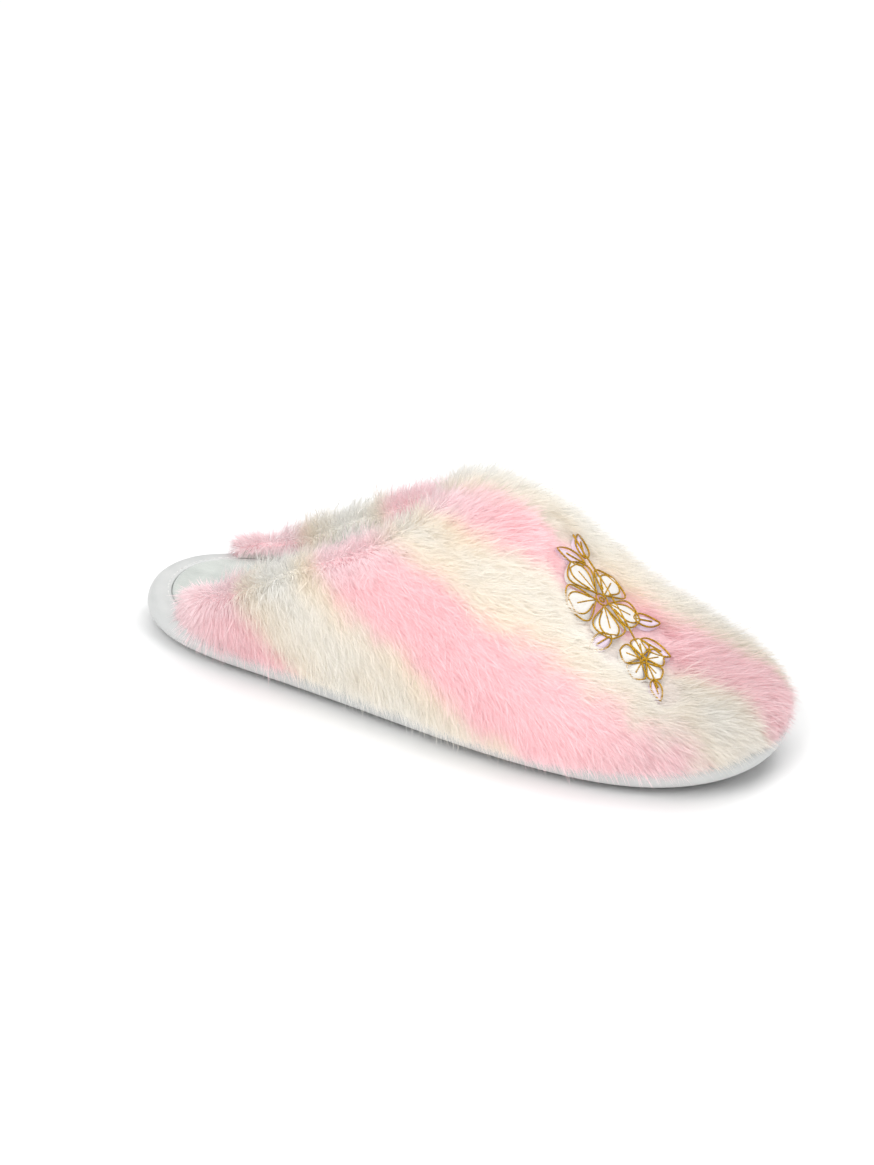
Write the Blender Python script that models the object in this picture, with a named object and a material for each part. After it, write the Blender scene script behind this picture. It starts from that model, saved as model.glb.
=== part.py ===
"""A backless plush slipper for the right foot: rubber outsole, bound foam footbed and hollow fur upper.

Metres, +Z up, toe towards +X, medial side towards +Y. The forms are worked out from the heel end,
where x is 0 at the back of the binding and y is 0 on the last's centre line, and everything is then
moved so that the middle of the slipper's footprint lies on the origin, with the sole on z = 0.
"""
import math

import bmesh
import bpy
import numpy as np

# Last and platform
SOLE_LENGTH = 0.260  # over the binding
BALL_WIDTH = 0.1115  # over the binding, at the ball
INSTEP_HEIGHT = 0.060  # of the last above the footbed, at the throat
PLATFORM_HEIGHT = 0.0145  # floor to the top of the binding
TOE_SPRING = 0.005
HEEL_SPRING = 0.0015
FLAT_START, FLAT_END = 0.10, 0.72  # shares of the length between which the sole lies on the floor
CLEARANCE = 0.0003  # between pieces that touch

# Outsole
OUTSOLE_THICKNESS = 0.0032
OUTSOLE_BEVEL = 0.0013
BAND_WIDTH = 0.010  # binding seen from below, around the outsole
RIM_WIDTH = 0.011  # smooth rim around the ribbed panel
LINE_WIDTH = 0.0011  # fine raised line along the rim's inner edge
LINE_GROOVE = 0.0008
GROOVE_DEPTH = 0.0012
RIB_PITCH = 0.0059
RIB_GROOVE = 0.0013
RIB_SLANT = math.radians(10.5)
ROUNDEL_RADIUS = 0.0123
ROUNDEL_RING = 0.0019
GROOVE_DRAFT = 0.3  # slope of the grooves' sides, as a share of their depth or width
LINE_DEPTH = 0.6  # of the line's groove, as a share of GROOVE_DEPTH
RING_DEPTH = 0.4  # of the roundel's groove, as a share of GROOVE_DEPTH
RIB_ROOT = 0.3  # how far a rib reaches into the rubber, as a share of its thickness
RIB_END = 0.6  # how far a rib's round end reaches towards the roundel, as a share of its half width
RIB_SIDE = 0.8  # where a rib's ends are measured, as a share of its half width
ROUNDEL_AT = (0.423, -0.036)  # shares of the length and of the ball width

# Binding, a folded strip round the edge of the footbed
BINDING_WALL = 0.0011
BINDING_BOTTOM = OUTSOLE_THICKNESS + CLEARANCE
FLANGE_TUCK = 0.003  # of the lower flange, over the edge of the outsole

# Footbed and upper
FEATHER_INSET = 0.009  # from the binding's edge to the upper's inner face
FOOTBED_RISE = 0.001
FOOTBED_CHAMFER = 1.5  # its width, as a share of FOOTBED_RISE
WALL = 0.003  # backing and lining of the upper
PILE = 0.008  # depth of the fur on it
PILE_VALLEY = 0.62  # share of the pile between the locks
PILE_LOCK = 0.95  # share of it on a lock's tip
LOCK_UNEVEN, VALLEY_UNEVEN = 0.15, 0.12  # what chance adds to either share
PILE_HEM = 0.85  # least share of it on the lower edge
HEM_ROWS = 0.45  # share of the way up over which the lower edge's pile fades out
PILE_TRIMMED = 0.35  # share of the pile that is left on the trimmed patch
LOCK_SWEEP = 0.005  # how far a lock's tip is combed along the nap
LOCK_ROOM = 14.0  # sweeps in a column that is tall enough for the full one
LOCK_SPACING = 4  # columns from one lock to the next
LOCK_STAGGER = 2  # columns by which every other row of locks is shifted
NAP_TO_TOE = 0.75  # how far the nap turns from straight down to the toe
LOCK_SEED = 7
END_ROUND = 0.03  # share of the way round over which the fur rounds off at either end
END_PILE = 0.3  # share of the pile left on the ends
SWELL = 0.003  # of the upper above the feather line
SWELL_HEIGHT = 0.022
FUR_DROOP = 0.0065  # of the lower edge, outside the binding
DROOP_START, DROOP_FULL = 0.0006, 0.0026  # distances outside the binding between which it grows
PATCH_AT = (0.715, -0.09)  # trimmed patch, shares of the length and of the ball width
PATCH_RADII = (0.105, 0.19)
PATCH_FADE = (0.8, 1.2)  # shares of its radii between which the trimming fades out
UNDER_MOST = 0.75  # how far out the lower edge lies on the binding, at most, as a share of its width

# Fineness of the meshes
HALF_STATIONS = 36  # of an outline, from heel to toe
COLUMNS = 96  # of the upper, from one end of its feather line to the other
OUTER_ROWS = 12
INNER_ROWS = 6
DENSE = 60  # samples of a column before it is divided evenly
DENSE_POWER = 2.4  # crowds those samples towards the feather line
FINE_STATIONS = 720  # of half an outline, before it is divided evenly
EDGE_STEPS, FOLD_STEPS = 7, 5  # points round the binding's outer and inner edge
ROUNDEL_STEPS = 32
SMOOTH_ANGLE = math.radians(40)
SLIVER = 0.00002  # length below which edges are closed up
TOE_COLUMNS = 0.25  # share of the way round, to either side of the toe, that its columns take

# The binding's outline, from the heel along the medial side to the toe and back along the lateral
# side. along is a share of SOLE_LENGTH, side of BALL_WIDTH, band of BAND_WIDTH, rim of RIM_WIDTH.
OUTLINE_COLUMNS = ("along", "side", "band", "rim")
OUTLINE = (
    (0.000, -0.018, 0.93, 0.97),
    (0.033, 0.251, 0.86, 1.00),
    (0.123, 0.381, 0.85, 1.03),
    (0.260, 0.401, 0.92, 1.17),
    (0.420, 0.401, 1.22, 1.18),
    (0.560, 0.431, 1.18, 1.04),
    (0.700, 0.464, 1.00, 0.97),
    (0.800, 0.448, 0.92, 0.98),
    (0.892, 0.378, 0.82, 0.92),
    (0.965, 0.264, 0.75, 0.84),
    (1.000, 0.013, 0.73, 0.80),
    (0.969, -0.273, 0.85, 0.86),
    (0.888, -0.448, 1.04, 0.98),
    (0.785, -0.523, 0.99, 1.03),
    (0.690, -0.537, 0.93, 1.06),
    (0.565, -0.513, 0.92, 1.12),
    (0.400, -0.444, 1.00, 1.30),
    (0.231, -0.377, 1.02, 1.45),
    (0.100, -0.310, 1.00, 1.40),
    (0.030, -0.200, 0.99, 1.20),
)
TOE_ROW = 10

# The last's sections. along is a share of SOLE_LENGTH, height of INSTEP_HEIGHT, ridge of BALL_WIDTH,
# and fullness is the exponent of the section's curve, 2 for an ellipse.
SECTION_COLUMNS = ("along", "height", "ridge", "fullness")
SECTIONS = (
    (0.00, 1.34, 0.00, 2.8),
    (0.25, 1.24, 0.01, 2.8),
    (0.38, 1.10, 0.03, 2.7),
    (0.45, 1.00, 0.04, 2.5),
    (0.51, 1.00, 0.05, 2.4),
    (0.58, 0.92, 0.05, 2.3),
    (0.64, 0.75, 0.04, 2.3),
    (0.74, 0.48, 0.02, 2.3),
    (0.85, 0.265, 0.02, 2.3),
    (0.93, 0.15, 0.02, 2.3),
    (1.00, 0.12, 0.02, 2.3),
)
TOE_ROUND = 0.05  # share of the length over which the toe closes
RIDGE_ROOM = 0.2  # half width, as a share of BALL_WIDTH, below which the ridge runs to the middle

# The top edge, from the lateral end of the upper round the throat to the medial end. around is the
# share of the way along the feather line, along a share of SOLE_LENGTH, across the share of the
# section's half width, and pile the share of PILE on the lower edge of the fur.
COLLAR_COLUMNS = ("around", "along", "across", "pile")
COLLAR = (
    (0.00, 0.096, -0.9985, 0.90),
    (0.05, 0.180, -0.9870, 1.05),
    (0.10, 0.270, -0.9450, 1.15),
    (0.15, 0.345, -0.8550, 1.25),
    (0.20, 0.393, -0.7100, 1.35),
    (0.30, 0.432, -0.4200, 1.35),
    (0.40, 0.445, -0.2000, 1.35),
    (0.50, 0.450, 0.0000, 1.25),
    (0.60, 0.456, 0.2200, 1.15),
    (0.70, 0.455, 0.4800, 1.05),
    (0.80, 0.420, 0.7600, 1.00),
    (0.85, 0.375, 0.8800, 1.00),
    (0.90, 0.285, 0.9780, 1.00),
    (0.95, 0.190, 0.9975, 0.95),
    (1.00, 0.102, 0.9997, 0.90),
)
FEATHER_REAR = (0.090, 0.095)  # where the upper's ends stand, lateral and medial

# Finishes: red, green, blue and roughness
FUR_PINK = (0.93, 0.42, 0.50, 0.95)
BINDING_WHITE = (0.86, 0.86, 0.85, 0.38)
FOOTBED_MINT = (0.78, 0.84, 0.80, 0.90)
RUBBER_BLACK = (0.022, 0.020, 0.018, 0.55)


def smooth_step(value):
    share = np.clip(value, 0.0, 1.0)
    return share * share * (3.0 - 2.0 * share)


def unit(vectors):
    return vectors / np.maximum(np.linalg.norm(vectors, axis=-1, keepdims=True), 1e-12)


def lift(x):
    """Height of the sole's underside above the floor: the toe and heel spring."""
    share = np.asarray(x) / SOLE_LENGTH
    toe = np.clip((share - FLAT_END) / (1.0 - FLAT_END), 0.0, None)
    heel = np.clip((FLAT_START - share) / FLAT_START, 0.0, None)
    return TOE_SPRING * toe**2 + HEEL_SPRING * heel**2


def closed_spline(knots, values, at):
    """Periodic cubic spline through values, a row for each knot and the last the same as the first."""
    count = len(knots)
    step = np.diff(knots)
    slope = np.diff(values, axis=0) / step[:, None]
    matrix = np.zeros((count, count))
    right = np.zeros_like(values)
    for k in range(1, count - 1):
        matrix[k, k - 1 : k + 2] = step[k - 1], 2.0 * (step[k - 1] + step[k]), step[k]
        right[k] = 6.0 * (slope[k] - slope[k - 1])
    matrix[0, 0], matrix[0, 1], matrix[0, -2] = 2.0 * (step[-1] + step[0]), step[0], step[-1]
    right[0] = 6.0 * (slope[0] - slope[-1])
    matrix[-1, 0], matrix[-1, -1] = 1.0, -1.0
    bend = np.linalg.solve(matrix, right)
    k = np.clip(np.searchsorted(knots, at, side="right") - 1, 0, count - 2)
    width = step[k][:, None]
    after = ((at - knots[k]) / step[k])[:, None]
    before = 1.0 - after
    curve = (before**3 - before) * bend[k] + (after**3 - after) * bend[k + 1]
    return before * values[k] + after * values[k + 1] + curve * width**2 / 6.0


def read_table(table, columns, at, wanted):
    """Columns of a table, read over its first column by a cubic curve that never overshoots a row."""
    rows = np.array(table)
    knots, values = rows[:, 0], rows[:, [columns.index(name) for name in wanted]]
    step = np.diff(knots)[:, None]
    slope = np.diff(values, axis=0) / step
    same_way = slope[1:] * slope[:-1] > 0
    both = np.where(same_way, slope[1:] + slope[:-1], 1.0)
    inner = np.where(same_way, 2.0 * slope[1:] * slope[:-1] / both, 0.0)
    rate = np.vstack([slope[:1], inner, slope[-1:]])
    at = np.clip(np.atleast_1d(at), knots[0], knots[-1])
    k = np.clip(np.searchsorted(knots, at, side="right") - 1, 0, len(knots) - 2)
    t = ((at - knots[k]) / step[k, 0])[:, None]
    ends = (1.0 + 2.0 * t) * (1.0 - t) ** 2 * values[k] + t * t * (3.0 - 2.0 * t) * values[k + 1]
    rates = t * (1.0 - t) ** 2 * rate[k] - t * t * (1.0 - t) * rate[k + 1]
    return (ends + step[k] * rates).T


def reach_of(points):
    """Distance along a line of points, from its first one to each."""
    return np.concatenate([[0.0], np.cumsum(np.linalg.norm(np.diff(points, axis=0), axis=1))])


def even_shares(points, count):
    """Shares of the way at which count + 1 places divide a line of points into equal lengths."""
    reach = reach_of(points)
    return np.interp(np.linspace(0.0, reach[-1], count + 1), reach, np.linspace(0.0, 1.0, len(points)))


def bound_outline():
    """Stations round the binding's edge: x, y, band and rim, with the heel first and the toe at half way."""
    rows = np.array(OUTLINE) * (SOLE_LENGTH, BALL_WIDTH, BAND_WIDTH, RIM_WIDTH)
    rows = np.vstack([rows, rows[:1]])
    knots = reach_of(rows[:, :2])
    halves = []
    for start, end in ((0, TOE_ROW), (TOE_ROW, len(rows) - 1)):
        fine = np.linspace(knots[start], knots[end], FINE_STATIONS)
        shares = even_shares(closed_spline(knots, rows, fine)[:, :2], HALF_STATIONS)
        at = knots[start] + shares[:-1] * (knots[end] - knots[start])
        halves.append(closed_spline(knots, rows, at))
    return np.vstack(halves)


OUTLINE_STATIONS = bound_outline()


def inset_line(distance):
    """The outline moved inwards by a distance, one number or one for each station."""
    edge = OUTLINE_STATIONS[:, :2]
    along = unit(np.roll(edge, -1, axis=0) - np.roll(edge, 1, axis=0))
    # The stations run from heel to toe along +Y, clockwise from above, so inwards is to the right.
    inwards = np.stack([along[:, 1], -along[:, 0]], axis=1)
    return edge + inwards * np.reshape(distance, (-1, 1))


def ring(distance, height):
    """The outline inset by a distance, at a height above the sole's underside, as 3-D points."""
    line = inset_line(distance)
    return np.column_stack([line, lift(line[:, 0]) + height])


def cap(lower, count):
    """Faces across a closed ring whose first point is the heel and whose middle one is the toe."""
    faces = []
    half = count // 2
    for k in range(half):
        left = [lower + k, lower + k + 1]
        right = [lower + (count - k - 1) % count, lower + (count - k) % count]
        corners = []
        for corner in left + right:
            if corner not in corners:
                corners.append(corner)
        faces.append(corners)
    return faces


def band_faces(first, second, count):
    return [
        [first + k, first + (k + 1) % count, second + (k + 1) % count, second + k]
        for k in range(count)
    ]


def new_object(name, points, faces, finish=None):
    """A closed mesh with its faces pointing out and, where a finish is given, its own material."""
    mesh = bpy.data.meshes.new(name)
    mesh.from_pydata([tuple(point) for point in points], [], faces)
    work = bmesh.new()
    work.from_mesh(mesh)
    bmesh.ops.recalc_face_normals(work, faces=work.faces)
    bmesh.ops.triangulate(work, faces=work.faces)
    work.to_mesh(mesh)
    work.free()
    made = bpy.data.objects.new(name, mesh)
    bpy.context.scene.collection.objects.link(made)
    if finish is not None:
        red, green, blue, roughness = finish
        material = bpy.data.materials.new(name)
        material.use_nodes = True
        shader = material.node_tree.nodes["Principled BSDF"]
        shader.inputs["Base Color"].default_value = (red, green, blue, 1.0)
        shader.inputs["Roughness"].default_value = roughness
        shader.inputs["Metallic"].default_value = 0.0
        mesh.materials.append(material)
    return made


def stacked_rings(rings):
    """Points and faces of a closed body made of rings, from its underside to its top."""
    count = len(rings[0])
    faces = cap(0, count)
    for level in range(len(rings) - 1):
        faces += band_faces(level * count, (level + 1) * count, count)
    faces += cap((len(rings) - 1) * count, count)
    return np.vstack(rings), faces


def crossings(line, origin, direction):
    """Where an endless line meets a closed outline, as distances along its direction."""
    across = np.array([-direction[1], direction[0]])
    side = (line - origin) @ across
    after = np.roll(side, -1)
    found = np.nonzero((side < 0) != (after < 0))[0]
    share = side[found] / (side[found] - after[found])
    points = line[found] + share[:, None] * (np.roll(line, -1, axis=0)[found] - line[found])
    return np.sort((points - origin) @ direction)


def rib_spans(panel):
    """The ribs' centre lines: pairs of end points inside the panel, cut round the roundel."""
    direction = np.array([math.sin(RIB_SLANT), math.cos(RIB_SLANT)])
    across = np.array([direction[1], -direction[0]])
    half = 0.5 * (RIB_PITCH - RIB_GROOVE)
    centre = np.array([ROUNDEL_AT[0] * SOLE_LENGTH, ROUNDEL_AT[1] * BALL_WIDTH])
    reach = (panel - centre) @ across
    keep_out = ROUNDEL_RADIUS + 0.5 * RIB_GROOVE + half
    spans = []
    for k in range(math.ceil(reach.min() / RIB_PITCH), math.floor(reach.max() / RIB_PITCH) + 1):
        middle = centre + across * k * RIB_PITCH
        ends = []
        for side in (-RIB_SIDE * half, RIB_SIDE * half):
            ends.append(crossings(panel, middle + across * side, direction))
        if min(len(pair) for pair in ends) < 2:
            continue
        low = max(pair[0] for pair in ends) + RIB_GROOVE
        high = min(pair[-1] for pair in ends) - RIB_GROOVE
        pieces = [(low, high)]
        if abs(k * RIB_PITCH) < keep_out:
            gap = math.sqrt(keep_out**2 - (k * RIB_PITCH) ** 2)
            pieces = [(low, -gap + RIB_END * half), (gap - RIB_END * half, high)]
        spans += [
            (middle + direction * a, middle + direction * b)
            for a, b in pieces
            if b - a > RIB_PITCH
        ]
    return spans, centre


def post(outline, top):
    """A prism on an outline, from the sole's lowest face up to a height inside the rubber."""
    count = len(outline)
    levels = []
    for height in (0.0, top):
        levels.append(np.column_stack([outline, lift(outline[:, 0]) + height]))
    faces = [list(range(count)), list(range(count, 2 * count))]
    return np.vstack(levels), faces + band_faces(0, count, count)


def stadium(start, end, half, corners=3):
    """A bar's outline in plan, with round ends."""
    along = unit(end - start)
    across = np.array([-along[1], along[0]])
    points = []
    for centre, facing in ((end - along * half, 1.0), (start + along * half, -1.0)):
        for k in range(corners + 1):
            turn = math.pi * (k / corners - 0.5)
            step = facing * (along * math.cos(turn) + across * math.sin(turn))
            points.append(centre + half * step)
    return np.array(points)


def tread_posts(panel):
    """The ribs and the roundel's disc, as posts that stand in the recessed panel."""
    half = 0.5 * (RIB_PITCH - RIB_GROOVE)
    spans, centre = rib_spans(panel)
    outlines = [stadium(start, end, half) for start, end in spans]
    outlines.append(centre + ROUNDEL_RADIUS * circle())
    points, faces = [], []
    for outline in outlines:
        first = sum(map(len, points))
        some, more = post(outline, GROOVE_DEPTH + RIB_ROOT * OUTSOLE_THICKNESS)
        faces += [[corner + first for corner in face] for face in more]
        points.append(some)
    return new_object("ribs", np.vstack(points), faces), centre


def circle():
    """A circle of radius 1 round the origin."""
    turns = np.linspace(0.0, 2.0 * math.pi, ROUNDEL_STEPS + 1)[:-1]
    return np.column_stack([np.cos(turns), np.sin(turns)])


def roundel_groove(centre):
    """The groove inside the roundel's edge."""
    inner = centre + (ROUNDEL_RADIUS - ROUNDEL_RING) * circle()
    outer = centre + (ROUNDEL_RADIUS - ROUNDEL_RING + 0.5 * LINE_GROOVE) * circle()
    low, high = -GROOVE_DEPTH, RING_DEPTH * GROOVE_DEPTH
    rings = []
    for line, height in ((inner, low), (inner, high), (outer, high), (outer, low)):
        rings.append(np.column_stack([line, np.full(ROUNDEL_STEPS, height)]))
    faces = []
    for k in range(len(rings)):
        after = (k + 1) % len(rings)
        faces += band_faces(ROUNDEL_STEPS * k, ROUNDEL_STEPS * after, ROUNDEL_STEPS)
    return new_object("roundel_groove", np.vstack(rings), faces)


def combine(body, helper, operation):
    """Joins a helper to a body, or cuts it out, and closes the slivers that the cut leaves."""
    cut = body.modifiers.new(helper.name, "BOOLEAN")
    cut.operation = operation
    cut.object = helper
    cut.solver = "EXACT"
    graph = bpy.context.evaluated_depsgraph_get()
    mesh = bpy.data.meshes.new_from_object(body.evaluated_get(graph))
    body.modifiers.clear()
    work = bmesh.new()
    work.from_mesh(mesh)
    bmesh.ops.triangulate(work, faces=work.faces)
    bmesh.ops.holes_fill(work, edges=[edge for edge in work.edges if edge.is_boundary], sides=4)
    bmesh.ops.triangulate(work, faces=work.faces)
    bmesh.ops.dissolve_degenerate(work, edges=work.edges, dist=SLIVER)
    bmesh.ops.triangulate(work, faces=work.faces)
    work.to_mesh(mesh)
    work.free()
    body.data = mesh
    bpy.data.objects.remove(helper)


def outsole():
    """A thin rubber unit: bevelled edge, smooth rim, raised line, and a panel of slanted ribs."""
    band = OUTLINE_STATIONS[:, 2]
    panel = band + OUTLINE_STATIONS[:, 3]
    floor = panel + GROOVE_DRAFT * GROOVE_DEPTH
    line = panel - LINE_WIDTH
    rings = [
        ring(floor, GROOVE_DEPTH),
        ring(panel, 0.0),
        ring(line, 0.0),
        ring(line - GROOVE_DRAFT * LINE_GROOVE, LINE_DEPTH * GROOVE_DEPTH),
        ring(line - LINE_GROOVE, 0.0),
        ring(band + OUTSOLE_BEVEL, 0.0),
        ring(band, OUTSOLE_BEVEL),
        ring(band, OUTSOLE_THICKNESS),
    ]
    body = new_object("outsole", *stacked_rings(rings), RUBBER_BLACK)
    ribs, centre = tread_posts(inset_line(floor))
    combine(body, ribs, "UNION")
    combine(body, roundel_groove(centre), "DIFFERENCE")
    return body


def edge_arc(radius, angles):
    """Inset and height of points round the binding's folded edge."""
    outer = 0.5 * (PLATFORM_HEIGHT - BINDING_BOTTOM)
    middle = BINDING_BOTTOM + outer
    turns = np.radians(angles)
    return [(outer - radius * math.cos(turn), middle + radius * math.sin(turn)) for turn in turns]


def binding():
    """A strip folded over the footbed's edge: an upper flange, a round edge and a lower flange."""
    outer = 0.5 * (PLATFORM_HEIGHT - BINDING_BOTTOM)
    lower = OUTLINE_STATIONS[:, 2] + FLANGE_TUCK
    section = edge_arc(outer, np.linspace(-90, 90, EDGE_STEPS))
    section += [(FEATHER_INSET, PLATFORM_HEIGHT), (FEATHER_INSET, PLATFORM_HEIGHT - BINDING_WALL)]
    section += edge_arc(outer - BINDING_WALL, np.linspace(90, -90, FOLD_STEPS))
    section += [(lower, BINDING_BOTTOM + BINDING_WALL), (lower, BINDING_BOTTOM)]
    rings = [ring(inset, height) for inset, height in section]
    count = len(OUTLINE_STATIONS)
    faces = []
    for level in range(len(rings)):
        faces += band_faces(level * count, (level + 1) % len(rings) * count, count)
    return new_object("binding", np.vstack(rings), faces, BINDING_WHITE)


def insole():
    """The foam footbed: its edge fills the fold of the binding, and its plush top stands inside it."""
    outer = 0.5 * (PLATFORM_HEIGHT - BINDING_BOTTOM)
    inside = OUTLINE_STATIONS[:, 2] + FLANGE_TUCK + CLEARANCE
    foam = outer - BINDING_WALL - CLEARANCE
    section = [(inside, BINDING_BOTTOM), (inside, BINDING_BOTTOM + BINDING_WALL + CLEARANCE)]
    section += edge_arc(foam, np.linspace(-90, 90, FOLD_STEPS))
    top = PLATFORM_HEIGHT + FOOTBED_RISE
    step = FEATHER_INSET + CLEARANCE
    section += [
        (step, PLATFORM_HEIGHT - BINDING_WALL - CLEARANCE),
        (step, PLATFORM_HEIGHT),
        (step + FOOTBED_CHAMFER * FOOTBED_RISE, top),
    ]
    rings = [ring(inset, height) for inset, height in section]
    return new_object("insole", *stacked_rings(rings), FOOTBED_MINT)


def feather_line():
    """The line on the binding where the upper's inner face stands, from its lateral to its medial end."""
    line = inset_line(FEATHER_INSET - CLEARANCE)
    lateral, medial = line[HALF_STATIONS:], line[: HALF_STATIONS + 1]
    lateral_x, medial_x = (share * SOLE_LENGTH for share in FEATHER_REAR)
    # The lateral stations run from toe to heel, so they are turned round.
    lateral = np.vstack([lateral, line[:1]])[::-1]
    first = np.interp(lateral_x, lateral[:, 0], lateral[:, 1])
    last = np.interp(medial_x, medial[:, 0], medial[:, 1])
    lateral = lateral[lateral[:, 0] > lateral_x + 1e-6]
    medial = medial[medial[:, 0] > medial_x + 1e-6][::-1]
    return np.vstack([[lateral_x, first], lateral, medial[1:], [medial_x, last]])


def half_widths(x):
    """Distance from the centre line to the feather line on the lateral and on the medial side."""
    line = inset_line(FEATHER_INSET)
    medial = line[: HALF_STATIONS + 1]
    lateral = np.vstack([line[HALF_STATIONS:], line[:1]])[::-1]
    return -np.interp(x, lateral[:, 0], lateral[:, 1]), np.interp(x, medial[:, 0], medial[:, 1])


def section_at(x):
    """Height, ridge and half widths of the last's sections at places along its length."""
    share = x / SOLE_LENGTH
    height, ridge, fullness = read_table(
        SECTIONS, SECTION_COLUMNS, share, ("height", "ridge", "fullness")
    )
    tip = SOLE_LENGTH - FEATHER_INSET
    closing = np.clip((tip - x) / (TOE_ROUND * SOLE_LENGTH), 0.0, 1.0)
    height = INSTEP_HEIGHT * height * np.sqrt(1.0 - (1.0 - closing) ** 2)
    lateral, medial = half_widths(x)
    half_width = 0.5 * (medial + lateral)
    ridge = ridge * BALL_WIDTH * smooth_step(half_width / (RIDGE_ROOM * BALL_WIDTH))
    return height, ridge, fullness, lateral + ridge, medial - ridge


def last_surface(x, across):
    """The last's surface at shares of a section's half width, swollen above the feather line."""
    height, ridge, fullness, lateral, medial = section_at(x)
    across = np.clip(across, -1.0, 1.0)
    rise = height * np.power(1.0 - np.abs(across) ** fullness, 1.0 / fullness)
    swell = SWELL * np.sin(0.5 * math.pi * np.clip(rise / SWELL_HEIGHT, 0.0, 1.0))
    y = ridge + across * np.where(across < 0.0, lateral, medial) + swell * across * np.abs(across)
    return np.stack([x, y, PLATFORM_HEIGHT + CLEARANCE + lift(x) + rise], axis=-1)


def inner_grid(around, rows):
    """The upper's inner face: a column for each share of the way round, divided evenly up to the collar."""
    feather = feather_line()
    reach = reach_of(feather)
    foot = np.stack([np.interp(around * reach[-1], reach, feather[:, k]) for k in (0, 1)], axis=1)
    top, top_across = read_table(COLLAR, COLLAR_COLUMNS, around, ("along", "across"))
    top = top * SOLE_LENGTH
    _, ridge, _, lateral, medial = section_at(top)
    top_y = ridge + top_across * np.where(top_across < 0.0, lateral, medial)
    # Round the toe a column is straight in plan. Along the sides it keeps to its share of the width.
    straight = smooth_step((TOE_COLUMNS - np.abs(around - 0.5)) / (0.5 * TOE_COLUMNS))
    progress = np.linspace(0.0, 1.0, DENSE) ** DENSE_POWER
    grid = np.empty((len(around), len(rows), 3))
    for k in range(len(around)):
        x = foot[k, 0] + (top[k] - foot[k, 0]) * progress
        y = foot[k, 1] + (top_y[k] - foot[k, 1]) * progress
        _, ridge, _, lateral, medial = section_at(x)
        in_plan = (y - ridge) / np.maximum(np.where(y < ridge, lateral, medial), 1e-6)
        foot_side = math.copysign(1.0, around[k] - 0.5)
        by_share = foot_side + (top_across[k] - foot_side) * progress
        column = last_surface(x, by_share + straight[k] * (in_plan - by_share))
        column[0] = (*foot[k], PLATFORM_HEIGHT + CLEARANCE + lift(foot[k, 0]))
        length = reach_of(column)
        for axis in range(3):
            grid[k, :, axis] = np.interp(rows * length[-1], length, column[:, axis])
    return grid


def column_lengths(grid):
    return np.linalg.norm(np.diff(grid, axis=1), axis=2).sum(axis=1)


def grid_frame(grid):
    """Unit vectors on a grid of points: round the shoe, up the upper, and outwards."""
    round_it = unit(np.gradient(grid, axis=0))
    up_it = unit(np.gradient(grid, axis=1))
    return round_it, up_it, unit(np.cross(round_it, up_it))


def trimmed(grid):
    """1 on the patch of the vamp whose pile is trimmed short, 0 away from it."""
    x = (grid[..., 0] / SOLE_LENGTH - PATCH_AT[0]) / PATCH_RADII[0]
    y = (grid[..., 1] / BALL_WIDTH - PATCH_AT[1]) / PATCH_RADII[1]
    start, end = PATCH_FADE
    return 1.0 - smooth_step((np.hypot(x, y) - start) / (end - start))


def lock_tips(columns, rows):
    """Which points of the outer grid are tips of locks, in rows that stagger like shingles."""
    column, row = np.meshgrid(np.arange(columns), np.arange(rows), indexing="ij")
    return (column + LOCK_STAGGER * (row % 2)) % LOCK_SPACING == 1


def outer_grid(around, rows):
    """The fur's envelope: the inner face moved out by wall and pile, with locks combed towards the toe."""
    base = inner_grid(around, rows)
    round_it, up_it, out = grid_frame(base)
    (low_pile,) = read_table(COLLAR, COLLAR_COLUMNS, around, ("pile",))
    fade = smooth_step(rows / HEM_ROWS)
    from_end = np.clip(np.minimum(around, 1.0 - around) / END_ROUND, 0.0, 1.0)
    taper = END_PILE + (1.0 - END_PILE) * np.sqrt(1.0 - (1.0 - from_end) ** 2)
    depth = PILE * (low_pile[:, None] * (1.0 - fade) + fade) * taper[:, None]
    tips = lock_tips(len(around), len(rows))
    chance = np.random.default_rng(LOCK_SEED).random(tips.shape)
    share = np.where(tips, PILE_LOCK + LOCK_UNEVEN * chance, PILE_VALLEY + VALLEY_UNEVEN * chance)
    patch = trimmed(base)
    share = share * (1.0 - patch) + PILE_TRIMMED * patch
    share[:, 0] = np.maximum(share[:, 0], PILE_HEM)
    grown = base + out * (WALL + depth * share)[..., None]
    to_toe = np.sign(0.5 - around)[:, None, None] * round_it
    nap = unit(NAP_TO_TOE * to_toe - up_it)
    inside = (rows > 0) & (rows < 1)
    room = smooth_step(column_lengths(base) / (LOCK_ROOM * LOCK_SWEEP))[:, None]
    sweep = LOCK_SWEEP * room * tips * (1.0 - patch) * inside
    return grown + nap * sweep[..., None]


def outset_of(points):
    """How far points lie outside the binding's outline, seen from above."""
    edge = OUTLINE_STATIONS[:, :2]
    outwards = unit(edge - inset_line(FEATHER_INSET))
    nearest = np.argmin(np.linalg.norm(points[:, None, :2] - edge[None], axis=2), axis=1)
    return np.sum((points[:, :2] - edge[nearest]) * outwards[nearest], axis=1)


def lower_edge(foot, lip):
    """The fur's underside: on the binding out to its edge, then a lip that droops outside it."""
    outset = outset_of(lip)
    droop = FUR_DROOP * smooth_step((outset - DROOP_START) / (DROOP_FULL - DROOP_START))
    lip = lip.copy()
    lip[:, 2] = PLATFORM_HEIGHT + CLEARANCE + lift(lip[:, 0]) - droop
    share = (FEATHER_INSET + DROOP_START) / (FEATHER_INSET + np.maximum(outset, 0.0))
    under = foot + (lip - foot) * np.minimum(share, UNDER_MOST)[:, None]
    under[:, 2] = PLATFORM_HEIGHT + CLEARANCE + lift(under[:, 0])
    return under, lip


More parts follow.
